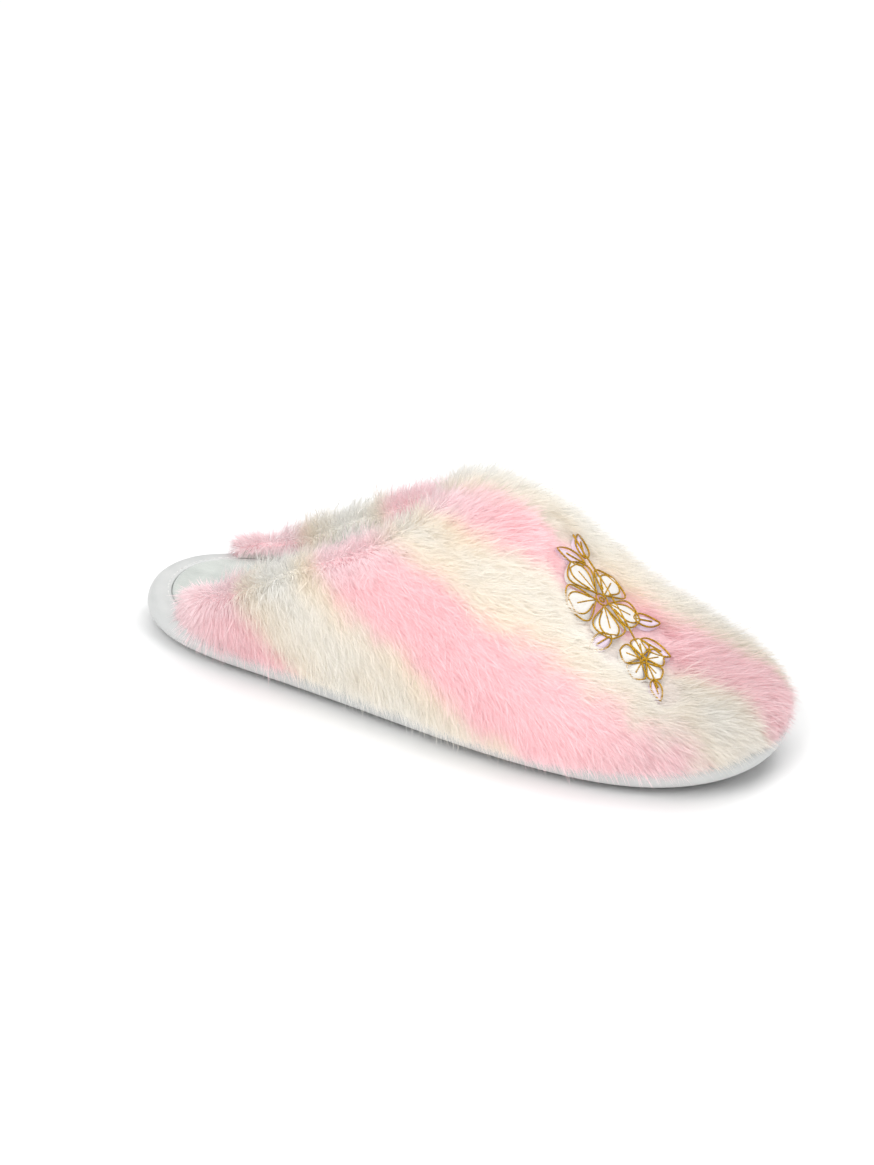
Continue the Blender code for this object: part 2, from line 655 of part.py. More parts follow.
def collar_roll(inner_top, outer_top, up_it):
    """The rounded top edge between the two faces."""
    middle = 0.5 * (inner_top + outer_top)
    half = 0.5 * (outer_top - inner_top)
    radius = np.linalg.norm(half, axis=1, keepdims=True)
    levels = []
    for turn in (0.25 * math.pi, 0.5 * math.pi, 0.75 * math.pi):
        levels.append(middle - half * math.cos(turn) + up_it * radius * math.sin(turn))
    return levels


def upper():
    """One hollow wall, open at the heel, throat and underneath, whose outer face is locks of fur."""
    around = np.linspace(0.0, 1.0, COLUMNS + 1)
    inner = inner_grid(around, np.linspace(0.0, 1.0, INNER_ROWS + 1))
    outer = outer_grid(around, np.linspace(0.0, 1.0, OUTER_ROWS + 1))
    _, up_it, _ = grid_frame(inner)
    under, lip = lower_edge(inner[:, 0], outer[:, 0])
    levels = [inner[:, k] for k in range(INNER_ROWS + 1)]
    levels += collar_roll(inner[:, -1], outer[:, -1], up_it[:, -1])
    levels += [outer[:, k] for k in range(OUTER_ROWS, 0, -1)]
    levels += [lip, under]
    loops = np.stack(levels, axis=1)
    count = loops.shape[1]
    faces = [list(range(count)), list(range((len(loops) - 1) * count, len(loops) * count))]
    for k in range(len(loops) - 1):
        faces += band_faces(k * count, (k + 1) * count, count)
    return new_object("upper", loops.reshape(-1, 3), faces, FUR_PINK)


def centre_on_floor(pieces):
    """Moves the pieces so that the middle of their footprint is the origin and the sole is on z = 0."""
    corners = np.array([vertex.co for piece in pieces for vertex in piece.data.vertices])
    middle = 0.5 * (corners.min(axis=0) + corners.max(axis=0))
    for piece in pieces:
        piece.location = (-middle[0], -middle[1], 0.0)


def main():
    for old in list(bpy.data.objects):
        bpy.data.objects.remove(old, do_unlink=True)
    pieces = [outsole(), binding(), insole(), upper()]
    for piece in pieces:
        piece.data.shade_smooth()
        piece.data.set_sharp_from_angle(angle=SMOOTH_ANGLE)
    centre_on_floor(pieces)


main()
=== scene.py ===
"""Looks of the plush slipper on its CAD frame: striped fur, bound edge, footbed, stitches and rubber.

Lengths are metres. The forms are worked out from the heel end, as in the CAD, where x is 0 at the back
of the binding and y is 0 on the last's centre line. placed() moves them into the frame.
"""
import math

import bmesh
import bpy
import numpy as np
from mathutils import Matrix, Vector


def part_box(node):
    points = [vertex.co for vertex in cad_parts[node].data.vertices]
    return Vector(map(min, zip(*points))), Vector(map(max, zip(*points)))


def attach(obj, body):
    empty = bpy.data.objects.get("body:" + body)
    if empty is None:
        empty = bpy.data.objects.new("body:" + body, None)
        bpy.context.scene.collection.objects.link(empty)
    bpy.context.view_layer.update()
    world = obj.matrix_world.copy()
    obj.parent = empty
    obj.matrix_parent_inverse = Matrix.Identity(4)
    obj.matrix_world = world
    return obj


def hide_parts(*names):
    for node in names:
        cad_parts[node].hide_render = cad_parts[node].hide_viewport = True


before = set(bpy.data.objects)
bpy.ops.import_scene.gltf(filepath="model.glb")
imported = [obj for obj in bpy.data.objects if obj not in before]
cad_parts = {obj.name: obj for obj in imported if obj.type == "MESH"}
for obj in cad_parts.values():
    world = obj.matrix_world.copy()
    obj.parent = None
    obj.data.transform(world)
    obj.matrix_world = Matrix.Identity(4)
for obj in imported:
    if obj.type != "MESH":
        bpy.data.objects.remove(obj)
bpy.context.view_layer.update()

# Last and platform
SOLE_LENGTH = 0.26
BALL_WIDTH = 0.1115
INSTEP_HEIGHT = 0.06
PLATFORM_HEIGHT = 0.0145
TOE_SPRING = 0.005
HEEL_SPRING = 0.0015
FLAT_START, FLAT_END = 0.1, 0.72
CLEARANCE = 0.0003
OUTSOLE_THICKNESS = 0.0032
BAND_WIDTH = 0.01
RIM_WIDTH = 0.011
BINDING_WALL = 0.0011
BINDING_BOTTOM = OUTSOLE_THICKNESS + CLEARANCE
FLANGE_TUCK = 0.003
FEATHER_INSET = 0.009
FOOTBED_LIFT = 0.0002  # of the foam above the outsole
# The footbed's soft upper edge: how far inwards, and how far above the platform
FOOTBED_EDGE = (
    (0.0, -0.0003), (0.0003, 0.0004), (0.001, 0.0009), (0.0022, 0.001), (0.006, 0.0011), (0.014, 0.0011)
)
SWELL = 0.003
SWELL_HEIGHT = 0.022
TOE_ROUND = 0.05
TOE_COLUMNS = 0.25
RIDGE_ROOM = 0.2  # half width, in BALL_WIDTH, below which the ridge fades
DENSE, DENSE_POWER = 60, 2.4  # points of a column before it is divided
HALF_STATIONS = 180  # of the outline, from heel to toe
FINE_STATIONS = 720
FOLD_RADIUS = 0.5 * (PLATFORM_HEIGHT - BINDING_BOTTOM)
FOLD_MIDDLE = BINDING_BOTTOM + FOLD_RADIUS
FOLD_STEPS, INNER_STEPS = 17, 7
EDGE_ROUND = 0.0004
FLANGE_EDGE = 0.999  # inset of the lower flange's outer face, in that of its inner one
PUCKER_DEPTH = 0.00022

# Along in SOLE_LENGTH, side in BALL_WIDTH, band in BAND_WIDTH and rim in RIM_WIDTH, from the heel round
OUTLINE = (
    (0.0, -0.018, 0.93, 0.97),
    (0.033, 0.251, 0.86, 1.0),
    (0.123, 0.381, 0.85, 1.03),
    (0.26, 0.401, 0.92, 1.17),
    (0.42, 0.401, 1.22, 1.18),
    (0.56, 0.431, 1.18, 1.04),
    (0.7, 0.464, 1.0, 0.97),
    (0.8, 0.448, 0.92, 0.98),
    (0.892, 0.378, 0.82, 0.92),
    (0.965, 0.264, 0.75, 0.84),
    (1.0, 0.013, 0.73, 0.8),
    (0.969, -0.273, 0.85, 0.86),
    (0.888, -0.448, 1.04, 0.98),
    (0.785, -0.523, 0.99, 1.03),
    (0.69, -0.537, 0.93, 1.06),
    (0.565, -0.513, 0.92, 1.12),
    (0.4, -0.444, 1.0, 1.3),
    (0.231, -0.377, 1.02, 1.45),
    (0.1, -0.31, 1.0, 1.4),
    (0.03, -0.2, 0.99, 1.2),
)
TOE_ROW = 10
# Along in SOLE_LENGTH, height in INSTEP_HEIGHT, ridge in BALL_WIDTH, and the power of the arch
SECTIONS = (
    (0.0, 1.34, 0.0, 2.8),
    (0.25, 1.24, 0.01, 2.8),
    (0.38, 1.1, 0.03, 2.7),
    (0.45, 1.0, 0.04, 2.5),
    (0.51, 1.0, 0.05, 2.4),
    (0.58, 0.92, 0.05, 2.3),
    (0.64, 0.75, 0.04, 2.3),
    (0.74, 0.48, 0.02, 2.3),
    (0.85, 0.265, 0.02, 2.3),
    (0.93, 0.15, 0.02, 2.3),
    (1.0, 0.12, 0.02, 2.3),
)
# Share of the way round, along in SOLE_LENGTH, across, and the hem's share of the hair's length
COLLAR = (
    (0.0, 0.096, -0.9985, 0.9),
    (0.05, 0.18, -0.987, 1.05),
    (0.1, 0.27, -0.945, 1.15),
    (0.15, 0.345, -0.855, 1.25),
    (0.2, 0.393, -0.71, 1.35),
    (0.3, 0.432, -0.42, 1.35),
    (0.4, 0.445, -0.2, 1.35),
    (0.5, 0.45, 0.0, 1.25),
    (0.6, 0.456, 0.22, 1.15),
    (0.7, 0.455, 0.48, 1.05),
    (0.8, 0.42, 0.76, 1.0),
    (0.85, 0.375, 0.88, 1.0),
    (0.9, 0.285, 0.978, 1.0),
    (0.95, 0.19, 0.9975, 0.95),
    (1.0, 0.102, 0.9997, 0.9),
)
FEATHER_REAR = (0.09, 0.095)  # ends of the upper, in SOLE_LENGTH
JOIN_AT, JOIN_DEPTH = (0.56, 0.431), 0.0005  # crease where the binding's ends meet

# Rubber
WELD = 0.00001
FLAT_ANGLE = math.radians(0.5)
SHARP_ANGLE = math.radians(30)
MOULD_ROUND = 0.00015

# Fur. Its level is 0 at the hem, 1 and 2 where the collar's roll begins and ends, 3 at its end inside.
SKIN = 0.0042  # backing and undercoat, outside the last
TURN_IN = 0.011  # of the fur over the collar into the shoe
TURNED_SHARE = 0.5  # of the hairs for an area there
COLLAR_DROP = 0.0012  # of the skin, made up by the standing hair
LEAST_WALL = 0.5  # of a column's height that the skin keeps
END_ROUND, END_THICK = 0.03, 0.45  # share of the way round, and of the thickness
HAIR_COUNT = 385000
HAIR_SEED = 11
FUR_PIECES = 5
HAIR_LENGTH = 0.0102
LEAST_HAIR, MOST_HAIR = 0.001, 1.6 * HAIR_LENGTH
HAIR_WIDTH = 0.00025
WIDTH_RANGE = (0.7, 1.2)
HAIR_FLOOR = 0.0035  # no tip hangs lower
HAIR_SUNK = 0.0006  # root below the skin
# Painted light: the fur glows in its own colour at this strength, standing in for light that hairs pass on
# to one another.
FUR_GLOW = 0.16  # light that hairs pass on to one another
GUARD_SHARE = 0.14  # of the hairs, longer and less combed down
GUARD_LONGER, GUARD_STANDS, GUARD_SPREAD = 0.4, 0.25, 0.08
REAR_GUARDS_LOST = 0.7
TRIMMED_HAIR = 0.42  # length left under the embroidery
TRIMMED_REACH = 0.42  # length lost by a hair that reaches over it
TRIMMED_LEAN = 0.2
TRIM_FADE = 0.003

# How the fur is combed: near the heel, what the toe adds, and what the rear ends add
COMB, COMB_TOE, COMB_REAR = (0.25, 0.0, -0.6), (1.05, 0.0, 0.15), (-0.75, 0.0, 0.0)
LEAN = math.radians(52)  # of a hair's root from the surface's normal, along the nap
COLLAR_STANDS, REAR_LIES, HEM_STANDS = 0.6, 0.5, 0.25
COMB_WAVER, COMB_LOOSE, ROOT_SPREAD = 0.06, 0.05, 0.05
REACH_LEAN = 1.2
TIP_COMB, TIP_SAG, HEM_SAG, TIP_SPREAD = 0.45, 0.08, 0.1, 1.2
TWIST = 0.7
LOCK_UNEVEN, COLLAR_UNEVEN, HAIR_UNEVEN = 0.12, 0.14, 0.1
# A hair's blade: how near its points are to the tip, its faces, and its place in the UV layer
BLADE_SHARES, BLADE_FACES = (0.0, 0.5, 0.5, 1.0), (0, 2, 1, 1, 2, 3)
BLADE_U, BLADE_V = (0.0005, 0.0, 0.001, 0.0005), (0.0, 0.001, 0.001, 0.002)
# Partly tone that differs from hair to hair, partly painted shade for the shadows between hairs.
HAIR_TONE_AND_SHADE = 0.15  # most that a hair is darker than its neighbours
LIT_UP, COLLAR_LIT_UP, SKIN_NORMAL = 0.35, 0.5, 0.6  # of the shading normals

# Ramps: start, end and height if not 1, over the level, then over the share of the way round from a rear
# end, then over metres from the heel
HEM_RAMP, COLLAR_RAMP = (0.3, 0.0), (0.8, 1.0)
COLLAR_SHORT, ROLL_SHORT, REAR_SHORT = (0.8, 1.2, 0.12), (1.4, 2.4, 0.25), (0.3, 0.8, 0.3)
REAR_RAMP, REAR_DROP = (0.05, 0.0), (0.095, 0.015, 0.004)
COMB_RAMP, TIP_SHORT, HEM_SHORT = (0.015, 0.075), (0.225, 0.25, 0.25), (0.165, 0.215, 0.28)
# Painted shade: the fur is darker towards the toe and towards the heel end.
TOE_PAINTED_SHADE, REAR_PAINTED_SHADE = (0.18, 0.23, 0.1), (0.08, 0.04, 0.06)

# Noise: size of a lattice's cells and seed
NOISE_CELLS = 64
LOCKS, WAVES, LOCK_LENGTHS = (0.0034, 3), (0.016, 4), (0.0034, 5)
CLOUDS, PATCHES, PUCKERS = (0.024, 41), (0.011, 42), (0.009, 51)

# The fur's stripes are read in the plane across the instep's slope, as angles round a point inside the
# foot, from the medial side over the ridge to the lateral one.
STRIPE_SLOPE = 0.45
STRIPE_CENTRE = 0.08
STRIPE_REAR, STRIPE_TOE = 0.04, 0.25
STRIPE_SWAYS = ((4.0, 0.02, 31), (3.5, 0.006, 32))  # degrees, and their noise
STRIPE_BLEND, STRIPE_NEAR = 12.0, 13.0  # degrees
# Edges between stripes: angle at the rear and at the toe
STRIPES = ((-35, -25), (8, 0), (46, 34), (105, 75), (118, 107), (138, 142), (168, 178), (211, 246))
# Root tones are darker than the tips: painted shade deep in the pile.
PINK_TIP, PINK_ROOT_SHADED = (0.99, 0.865, 0.876), (0.98, 0.71, 0.738)
CREAM_TIP, CREAM_ROOT_SHADED = (0.945, 0.92, 0.875), (0.925, 0.885, 0.815)
WARM_TINT = (0.98, 0.88, 0.74)
WHITE_TINT = (0.935, 0.93, 0.905)
LILAC_TINT = (0.98, 0.885, 0.9)
WARM_SHARE, LILAC_EDGE, LILAC_CLOUDS, LILAC_TRIMMED = 0.55, 0.35, 0.5, 0.25

# Other colours, dark and light where there are two
LINING = (0.7, 0.7, 0.66), (0.82, 0.81, 0.78)
FOOTBED = (0.45, 0.485, 0.455), (0.57, 0.605, 0.57)
LEATHER = (0.51, 0.525, 0.52), (0.61, 0.615, 0.605)
RUBBER = (0.012, 0.01, 0.008), (0.024, 0.02, 0.017)
BLACK, WHITE, GOLD = (0.03, 0.03, 0.03), (0.85, 0.85, 0.83), (0.66, 0.36, 0.012)
FLOOR_GREY = (0.88, 0.88, 0.88, 1.0)

# Stitches
STITCH_PITCH, STITCH_LENGTH = 0.003, 0.0019
STITCH_SIDES = 7
STITCH_PROFILE = ((-0.5, 0.35), (-0.36, 0.9), (0.36, 0.9), (0.5, 0.35))  # along it, and in radii
STITCH_SAG = 0.9  # of its ends, in radii
BELOW_INSET, BELOW_RADIUS = 0.0032, 0.00028  # outwards from the outsole
ABOVE_INSET, ABOVE_RADIUS = 0.0014, 0.00026  # outwards from the upper's foot
STITCH_LIFT = 0.0001
PROBE = 0.001  # step along a line or a surface to find its direction

# Embroidery: a spray in the vamp's plane round MOTIF_AT, u towards the toe and v towards the medial side
MOTIF_AT = (0.186, -0.01)
MOTIF_HEIGHT = 0.004  # of the sewn ground above the skin
SPRAY_START, SPRAY_END, SPRAY_BEND = (-0.027, 0.018), (0.026, -0.021), 0.003
# u, v, size and turn
BLOSSOMS = ((-0.007, -0.001, 0.0162, 0.35), (0.0165, -0.0135, 0.0095, 0.9))
# Shares of a blossom's size
PETALS, PETAL_START, PETAL_LENGTH, PETAL_WIDTH = 5, 0.16, 0.84, 0.42
HEARTS = (0.15, 0.06)
LEAF_WIDTH = 0.26  # share of a leaf's length
LEAF_FULLEST, PETAL_FULLEST, BLUNTNESS = 0.8, 1.5, 0.8  # powers that shape a blade
STEM_POINTS, BLADE_POINTS, CIRCLE_POINTS = 40, 17, 21
VEIN, LOOP, INNER_LINE = slice(1, 12), slice(3, -2), 0.6  # a blade's sewn inner lines
FINE_PETAL = 0.005  # half width below which a petal has no inner line
CORD_RADIUS, CORD_SIDES, CORD_PITCH, CORD_TWIST = 0.00033, 6, 0.0006, 0.2
CORD_LIFT, PETAL_LIFT = 0.0002, 0.0003
CUSHION_COLUMNS, CUSHION_DROP, LEAST_CUSHION = 7, 0.0022, 0.0001
PETAL_GROUND = (0.7, 0.675, 0.64)
LEAF_GROUND = (0.69, 0.57, 0.69)
# u, v, turn and length
LEAVES = (
    (-0.019, 0.012, 2.2, 0.0115),
    (-0.018, 0.009, 3.6, 0.012),
    (0.006, 0.003, 0.75, 0.0125),
    (0.012, -0.005, 0.1, 0.013),
    (0.002, -0.013, -2.0, 0.011),
    (0.023, -0.019, -0.8, 0.0085),
)
# Discs where the pile is trimmed: u, v and radius
COVER = (
    (-0.007, -0.001, 0.017),
    (0.0165, -0.0125, 0.0115),
    (-0.023, 0.012, 0.0085),
    (0.012, 0.004, 0.008),
    (0.0, -0.018, 0.0065),
    (0.025, -0.021, 0.0075),
)

# Camera: the photo's frame, its scale, and where a point of the slipper lies in it
FRAME_PIXELS = (874, 1165)
PIXELS_PER_METRE = 2560.0
ANCHOR = (0.13, 0.0, 0.02)
ANCHOR_PIXEL = (467.0, 640.5)
CAMERA_RIGHT = (0.947, 0.297, 0.116)
CAMERA_UP = (-0.2356, 0.4046, 0.883)
CAMERA_DISTANCE = 2.0
SENSOR = 36.0

# Stage: a light's name, place, size and power
LIGHTS = (
    ("above", (0.0, 0.2, 2.4), 2.6, 28.0),
    ("key", (-0.3, -1.3, 1.1), 0.9, 17.0),
    ("fill", (1.1, -0.7, 0.8), 0.9, 5.0),
    ("rim", (0.3, 1.1, 1.2), 0.8, 5.0),
)
LIT_POINT = (0.0, 0.0, 0.03)
SKY_LIGHT = 0.46
FLOOR_HALF = 30.0
UP = np.array([0.0, 0.0, 1.0])


def smooth_step(value):
    share = np.clip(value, 0.0, 1.0)
    return share * share * (3.0 - 2.0 * share)


def rising(value, start, end, top=1.0):
    """0 up to start and top from end on, smooth in between; start may be the greater."""
    return top * smooth_step((value - start) / (end - start))


def unit(vectors):
    return vectors / np.maximum(np.linalg.norm(vectors, axis=-1, keepdims=True), 1e-12)


def mixed(first, second, share):
    share = np.asarray(share)[..., None]
    return np.asarray(first) * (1.0 - share) + np.asarray(second) * share


def lift(x):
    share = np.asarray(x) / SOLE_LENGTH
    toe = np.clip((share - FLAT_END) / (1.0 - FLAT_END), 0.0, None)
    heel = np.clip((FLAT_START - share) / FLAT_START, 0.0, None)
    return TOE_SPRING * toe**2 + HEEL_SPRING * heel**2


def closed_spline(knots, values, at):
    """Periodic cubic spline through values; the last row is the first again."""
    step = np.diff(knots)
    last_step = np.roll(step, 1)
    slope = np.diff(values, axis=0) / step[:, None]
    matrix = np.diag(2.0 * (last_step + step))
    matrix += np.roll(np.diag(step), 1, axis=1) + np.roll(np.diag(last_step), -1, axis=1)
    bend = np.linalg.solve(matrix, 6.0 * (slope - np.roll(slope, 1, axis=0)))
    bend = np.vstack([bend, bend[:1]])
    k = np.clip(np.searchsorted(knots, at, side="right") - 1, 0, len(step) - 1)
    width = step[k][:, None]
    after = ((at - knots[k]) / step[k])[:, None]
    before = 1.0 - after
    curve = (before**3 - before) * bend[k] + (after**3 - after) * bend[k + 1]
    return before * values[k] + after * values[k + 1] + curve * width**2 / 6.0


def read_table(table, at):
    """A table's other columns over its first one, by a cubic curve that never overshoots."""
    rows = np.array(table)
    knots, values = rows[:, 0], rows[:, 1:]
    step = np.diff(knots)[:, None]
    slope = np.diff(values, axis=0) / step
    same_way = slope[1:] * slope[:-1] > 0
    both = np.where(same_way, slope[1:] + slope[:-1], 1.0)
    inner = np.where(same_way, 2.0 * slope[1:] * slope[:-1] / both, 0.0)
    rate = np.vstack([slope[:1], inner, slope[-1:]])
    at = np.clip(np.atleast_1d(at), knots[0], knots[-1])
    k = np.clip(np.searchsorted(knots, at, side="right") - 1, 0, len(knots) - 2)
    t = ((at - knots[k]) / step[k, 0])[:, None]
    ends = (1.0 + 2.0 * t) * (1.0 - t) ** 2 * values[k] + t * t * (3.0 - 2.0 * t) * values[k + 1]
    rates = t * (1.0 - t) ** 2 * rate[k] - t * t * (1.0 - t) * rate[k + 1]
    return (ends + step[k] * rates).T


def reach_of(points):
    return np.concatenate([[0.0], np.cumsum(np.linalg.norm(np.diff(points, axis=0), axis=1))])


def divided(line, shares):
    """Points of a line at shares of its length."""
    reach = reach_of(line)
    return np.stack([np.interp(shares * reach[-1], reach, values) for values in line.T], axis=1)


def bound_outline(half_stations):
    """Stations round the binding's edge from the heel: x, y, band and rim."""
    rows = np.array(OUTLINE) * (SOLE_LENGTH, BALL_WIDTH, BAND_WIDTH, RIM_WIDTH)
    rows = np.vstack([rows, rows[:1]])
    knots = reach_of(rows[:, :2])
    halves = []
    for start, end in ((0, TOE_ROW), (TOE_ROW, len(rows) - 1)):
        fine = np.linspace(knots[start], knots[end], FINE_STATIONS)
        reach = reach_of(closed_spline(knots, rows, fine)[:, :2])
        at = np.interp(np.linspace(0.0, reach[-1], half_stations + 1)[:-1], reach, fine)
        halves.append(closed_spline(knots, rows, at))
    return np.vstack(halves)


STATIONS = bound_outline(HALF_STATIONS)
EDGE = STATIONS[:, :2]
SHIFT = np.array([*(np.array(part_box("binding")[0])[:2] - EDGE.min(axis=0)), 0.0])


def placed(points):
    return np.asarray(points) + SHIFT


def edge_inwards():
    along = unit(np.roll(EDGE, -1, axis=0) - np.roll(EDGE, 1, axis=0))
    return np.stack([along[:, 1], -along[:, 0]], axis=1)


def inset_line(distance):
    """The outline moved inwards by a distance, or by one for each station."""
    return EDGE + edge_inwards() * np.reshape(distance, (-1, 1))


def ring(distance, height):
    line = inset_line(distance)
    return np.column_stack([line, lift(line[:, 0]) + height])


def two_sides(inset):
    """The lateral and the medial side of a line inside the outline, each from the heel to the toe."""
    line = inset_line(inset)
    return np.vstack([line[HALF_STATIONS:], line[:1]])[::-1], line[: HALF_STATIONS + 1]


def feather_line():
    """Where the upper's inner face stands on the binding, from its lateral to its medial end."""
    sides = []
    for share, side in zip(FEATHER_REAR, two_sides(FEATHER_INSET - CLEARANCE)):
        rear = share * SOLE_LENGTH
        sides.append(np.vstack([[rear, np.interp(rear, *side.T)], side[side[:, 0] > rear + 1e-6]]))
    return np.vstack([sides[0], sides[1][-2::-1]])


def half_widths(x):
    lateral, medial = two_sides(FEATHER_INSET)
    return -np.interp(x, *lateral.T), np.interp(x, *medial.T)


def section_at(x):
    height, ridge, fullness = read_table(SECTIONS, x / SOLE_LENGTH)
    tip = SOLE_LENGTH - FEATHER_INSET
    closing = np.clip((tip - x) / (TOE_ROUND * SOLE_LENGTH), 0.0, 1.0)
    height = INSTEP_HEIGHT * height * np.sqrt(1.0 - (1.0 - closing) ** 2)
    lateral, medial = half_widths(x)
    ridge = ridge * BALL_WIDTH * smooth_step(0.5 * (medial + lateral) / (RIDGE_ROOM * BALL_WIDTH))
    return height, ridge, fullness, lateral + ridge, medial - ridge


def last_surface(x, across):
    height, ridge, fullness, lateral, medial = section_at(x)
    across = np.clip(across, -1.0, 1.0)
    rise = height * np.power(1.0 - np.abs(across) ** fullness, 1.0 / fullness)
    swell = SWELL * np.sin(0.5 * math.pi * np.clip(rise / SWELL_HEIGHT, 0.0, 1.0))
    y = ridge + across * np.where(across < 0.0, lateral, medial) + swell * across * np.abs(across)
    return np.stack([x, y, PLATFORM_HEIGHT + CLEARANCE + lift(x) + rise], axis=-1)


def inner_grid(around, rows):
    """The upper's inner face, a column for each share of the way round."""
    foot = divided(feather_line(), around)
    top, top_across, _ = read_table(COLLAR, around)
    top = top * SOLE_LENGTH
    _, ridge, _, lateral, medial = section_at(top)
    top_y = ridge + top_across * np.where(top_across < 0.0, lateral, medial)
    straight = smooth_step((TOE_COLUMNS - np.abs(around - 0.5)) / (0.5 * TOE_COLUMNS))
    progress = np.linspace(0.0, 1.0, DENSE) ** DENSE_POWER
    grid = np.empty((len(around), len(rows), 3))
    for k in range(len(around)):
        x = foot[k, 0] + (top[k] - foot[k, 0]) * progress
        y = foot[k, 1] + (top_y[k] - foot[k, 1]) * progress
        _, ridge, _, lateral, medial = section_at(x)
        in_plan = (y - ridge) / np.maximum(np.where(y < ridge, lateral, medial), 1e-6)
        foot_side = math.copysign(1.0, around[k] - 0.5)
        by_share = foot_side + (top_across[k] - foot_side) * progress
        column = last_surface(x, by_share + straight[k] * (in_plan - by_share))
        column[0] = (*foot[k], PLATFORM_HEIGHT + CLEARANCE + lift(foot[k, 0]))
        grid[k] = divided(column, rows)
    return grid


def grid_frame(grid):
    """Unit vectors on a grid of points: round the shoe, up the upper, and outwards."""
    round_it = unit(np.gradient(grid, axis=0))
    up_it = unit(np.gradient(grid, axis=1))
    return round_it, up_it, unit(np.cross(round_it, up_it))


def lattice_noise(points, size, seed, channels=1):
    """Smooth noise from -1 to 1, from random values on a lattice of cells of a size."""
    shape = (NOISE_CELLS, NOISE_CELLS, NOISE_CELLS, channels)
    table = np.random.default_rng(seed).uniform(-1.0, 1.0, shape).astype(np.float32)
    scaled = np.asarray(points) / size
    cell = np.floor(scaled).astype(int)
    share = smooth_step(scaled - cell)
    total = np.zeros((len(scaled), channels))
    for corner in np.ndindex(2, 2, 2):
        weight = np.prod(np.where(corner, share, 1.0 - share), axis=1)
        at = (cell + corner) % NOISE_CELLS
        total += weight[:, None] * table[at[:, 0], at[:, 1], at[:, 2]]
    return total if channels > 1 else total[:, 0]


def stripe_share(points):
    """1 in a pink stripe and 0 in a cream one, and how near the edge of a stripe is."""
    x = points[:, 0]
    height = points[:, 2] + STRIPE_SLOPE * x - STRIPE_CENTRE
    angle = np.degrees(np.arctan2(height / math.hypot(1.0, STRIPE_SLOPE), points[:, 1]))
    angle = np.where(angle < -90.0, angle + 360.0, angle)
    for turn, size, seed in STRIPE_SWAYS:
        angle = angle + turn * lattice_noise(points, size, seed)
    along = (x - STRIPE_REAR) / (STRIPE_TOE - STRIPE_REAR)
    pink = np.zeros(len(points))
    edge = np.zeros(len(points))
    for k, (rear, toe) in enumerate(STRIPES):
        beyond = angle - (rear + (toe - rear) * along)
        step = smooth_step(0.5 + beyond / STRIPE_BLEND)
        pink += step * (-1.0 if k % 2 == 0 else 1.0)
        edge = np.maximum(edge, np.exp(-((beyond / STRIPE_NEAR) ** 2)))
    return np.clip(pink + 1.0, 0.0, 1.0), edge


def trimmed(points):
    """1 where the pile is trimmed for the embroidery, 0 away from it."""
    x, y = points[..., 0] - MOTIF_AT[0], points[..., 1] - MOTIF_AT[1]
    outside = np.min([np.hypot(x - u, y - v) - radius for u, v, radius in COVER], axis=0)
    return 1.0 - smooth_step(outside / TRIM_FADE)


def fur_colours(points, edge_share):
    """Root and tip colours of the fur, the roots darker as painted shade deep in the pile and both darker
    towards the toe and the heel end as painted shade; edge_share is 1 along the collar and the rear ends.
    """
    pink, near = stripe_share(points)
    cloudy = 0.5 + 0.5 * lattice_noise(points, *CLOUDS)
    patchy = 0.5 + 0.5 * lattice_noise(points, *PATCHES)
    # Painted shade: darker towards the toe and the heel end.
    end_shade_factor = (1.0 - rising(points[:, 0], *TOE_PAINTED_SHADE) - rising(points[:, 0], *REAR_PAINTED_SHADE))[:, None]
    tones = []
    for pink_tone, cream_tone in ((PINK_ROOT_SHADED, CREAM_ROOT_SHADED), (PINK_TIP, CREAM_TIP)):
        cream = mixed(cream_tone, WARM_TINT, WARM_SHARE * near * cloudy)
        cream = mixed(cream, WHITE_TINT, (1.0 - near) * np.maximum(patchy, edge_share))
        rose = mixed(pink_tone, LILAC_TINT, edge_share * (LILAC_EDGE + LILAC_CLOUDS * cloudy))
        tone = mixed(cream, rose, pink)
        tones.append(end_shade_factor * mixed(tone, LILAC_TINT, LILAC_TRIMMED * trimmed(points)))
    return tones


def linked(name, data):
    made = bpy.data.objects.new(name, data)
    bpy.context.scene.collection.objects.link(made)
    return made


def new_mesh_object(name, points, corners, sizes):
    """An object from points, its faces' corners in one line, and each face's number of corners."""
    mesh = bpy.data.meshes.new(name)
    mesh.vertices.add(len(points))
    mesh.vertices.foreach_set("co", np.asarray(points, np.float32).ravel())
    mesh.loops.add(len(corners))
    mesh.loops.foreach_set("vertex_index", np.asarray(corners, np.int32))
    mesh.polygons.add(len(sizes))
    starts = np.concatenate([[0], np.cumsum(sizes)[:-1]])
    mesh.polygons.foreach_set("loop_start", starts.astype(np.int32))
    mesh.update(calc_edges=True)
    mesh.shade_smooth()
    return linked(name, mesh)


def faces_object(name, points, faces):
    sizes = [len(face) for face in faces]
    return new_mesh_object(name, points, [corner for face in faces for corner in face], sizes)


def grid_faces(first, rows, columns, closed_rows=False, closed_columns=False):
    """Quads over a grid of points numbered row by row."""
    faces = []
    for r in range(rows if closed_rows else rows - 1):
        for c in range(columns if closed_columns else columns - 1):
            below, above = (first + q * columns for q in (r, (r + 1) % rows))
            after = (c + 1) % columns
            faces.append((below + c, below + after, above + after, above + c))
    return faces


def paint_points(mesh, name, colours):
    layer = mesh.color_attributes.new(name, "FLOAT_COLOR", "POINT")
    rgba = np.ones((len(mesh.vertices), 4), np.float32)
    rgba[:, :3] = colours
    layer.data.foreach_set("color", rgba.ravel())


def outward(made):
    """Turns every face of a closed mesh outwards."""
    work = bmesh.new()
    work.from_mesh(made.data)
    bmesh.ops.recalc_face_normals(work, faces=work.faces)
    work.to_mesh(made.data)
    work.free()
    return made


# Materials


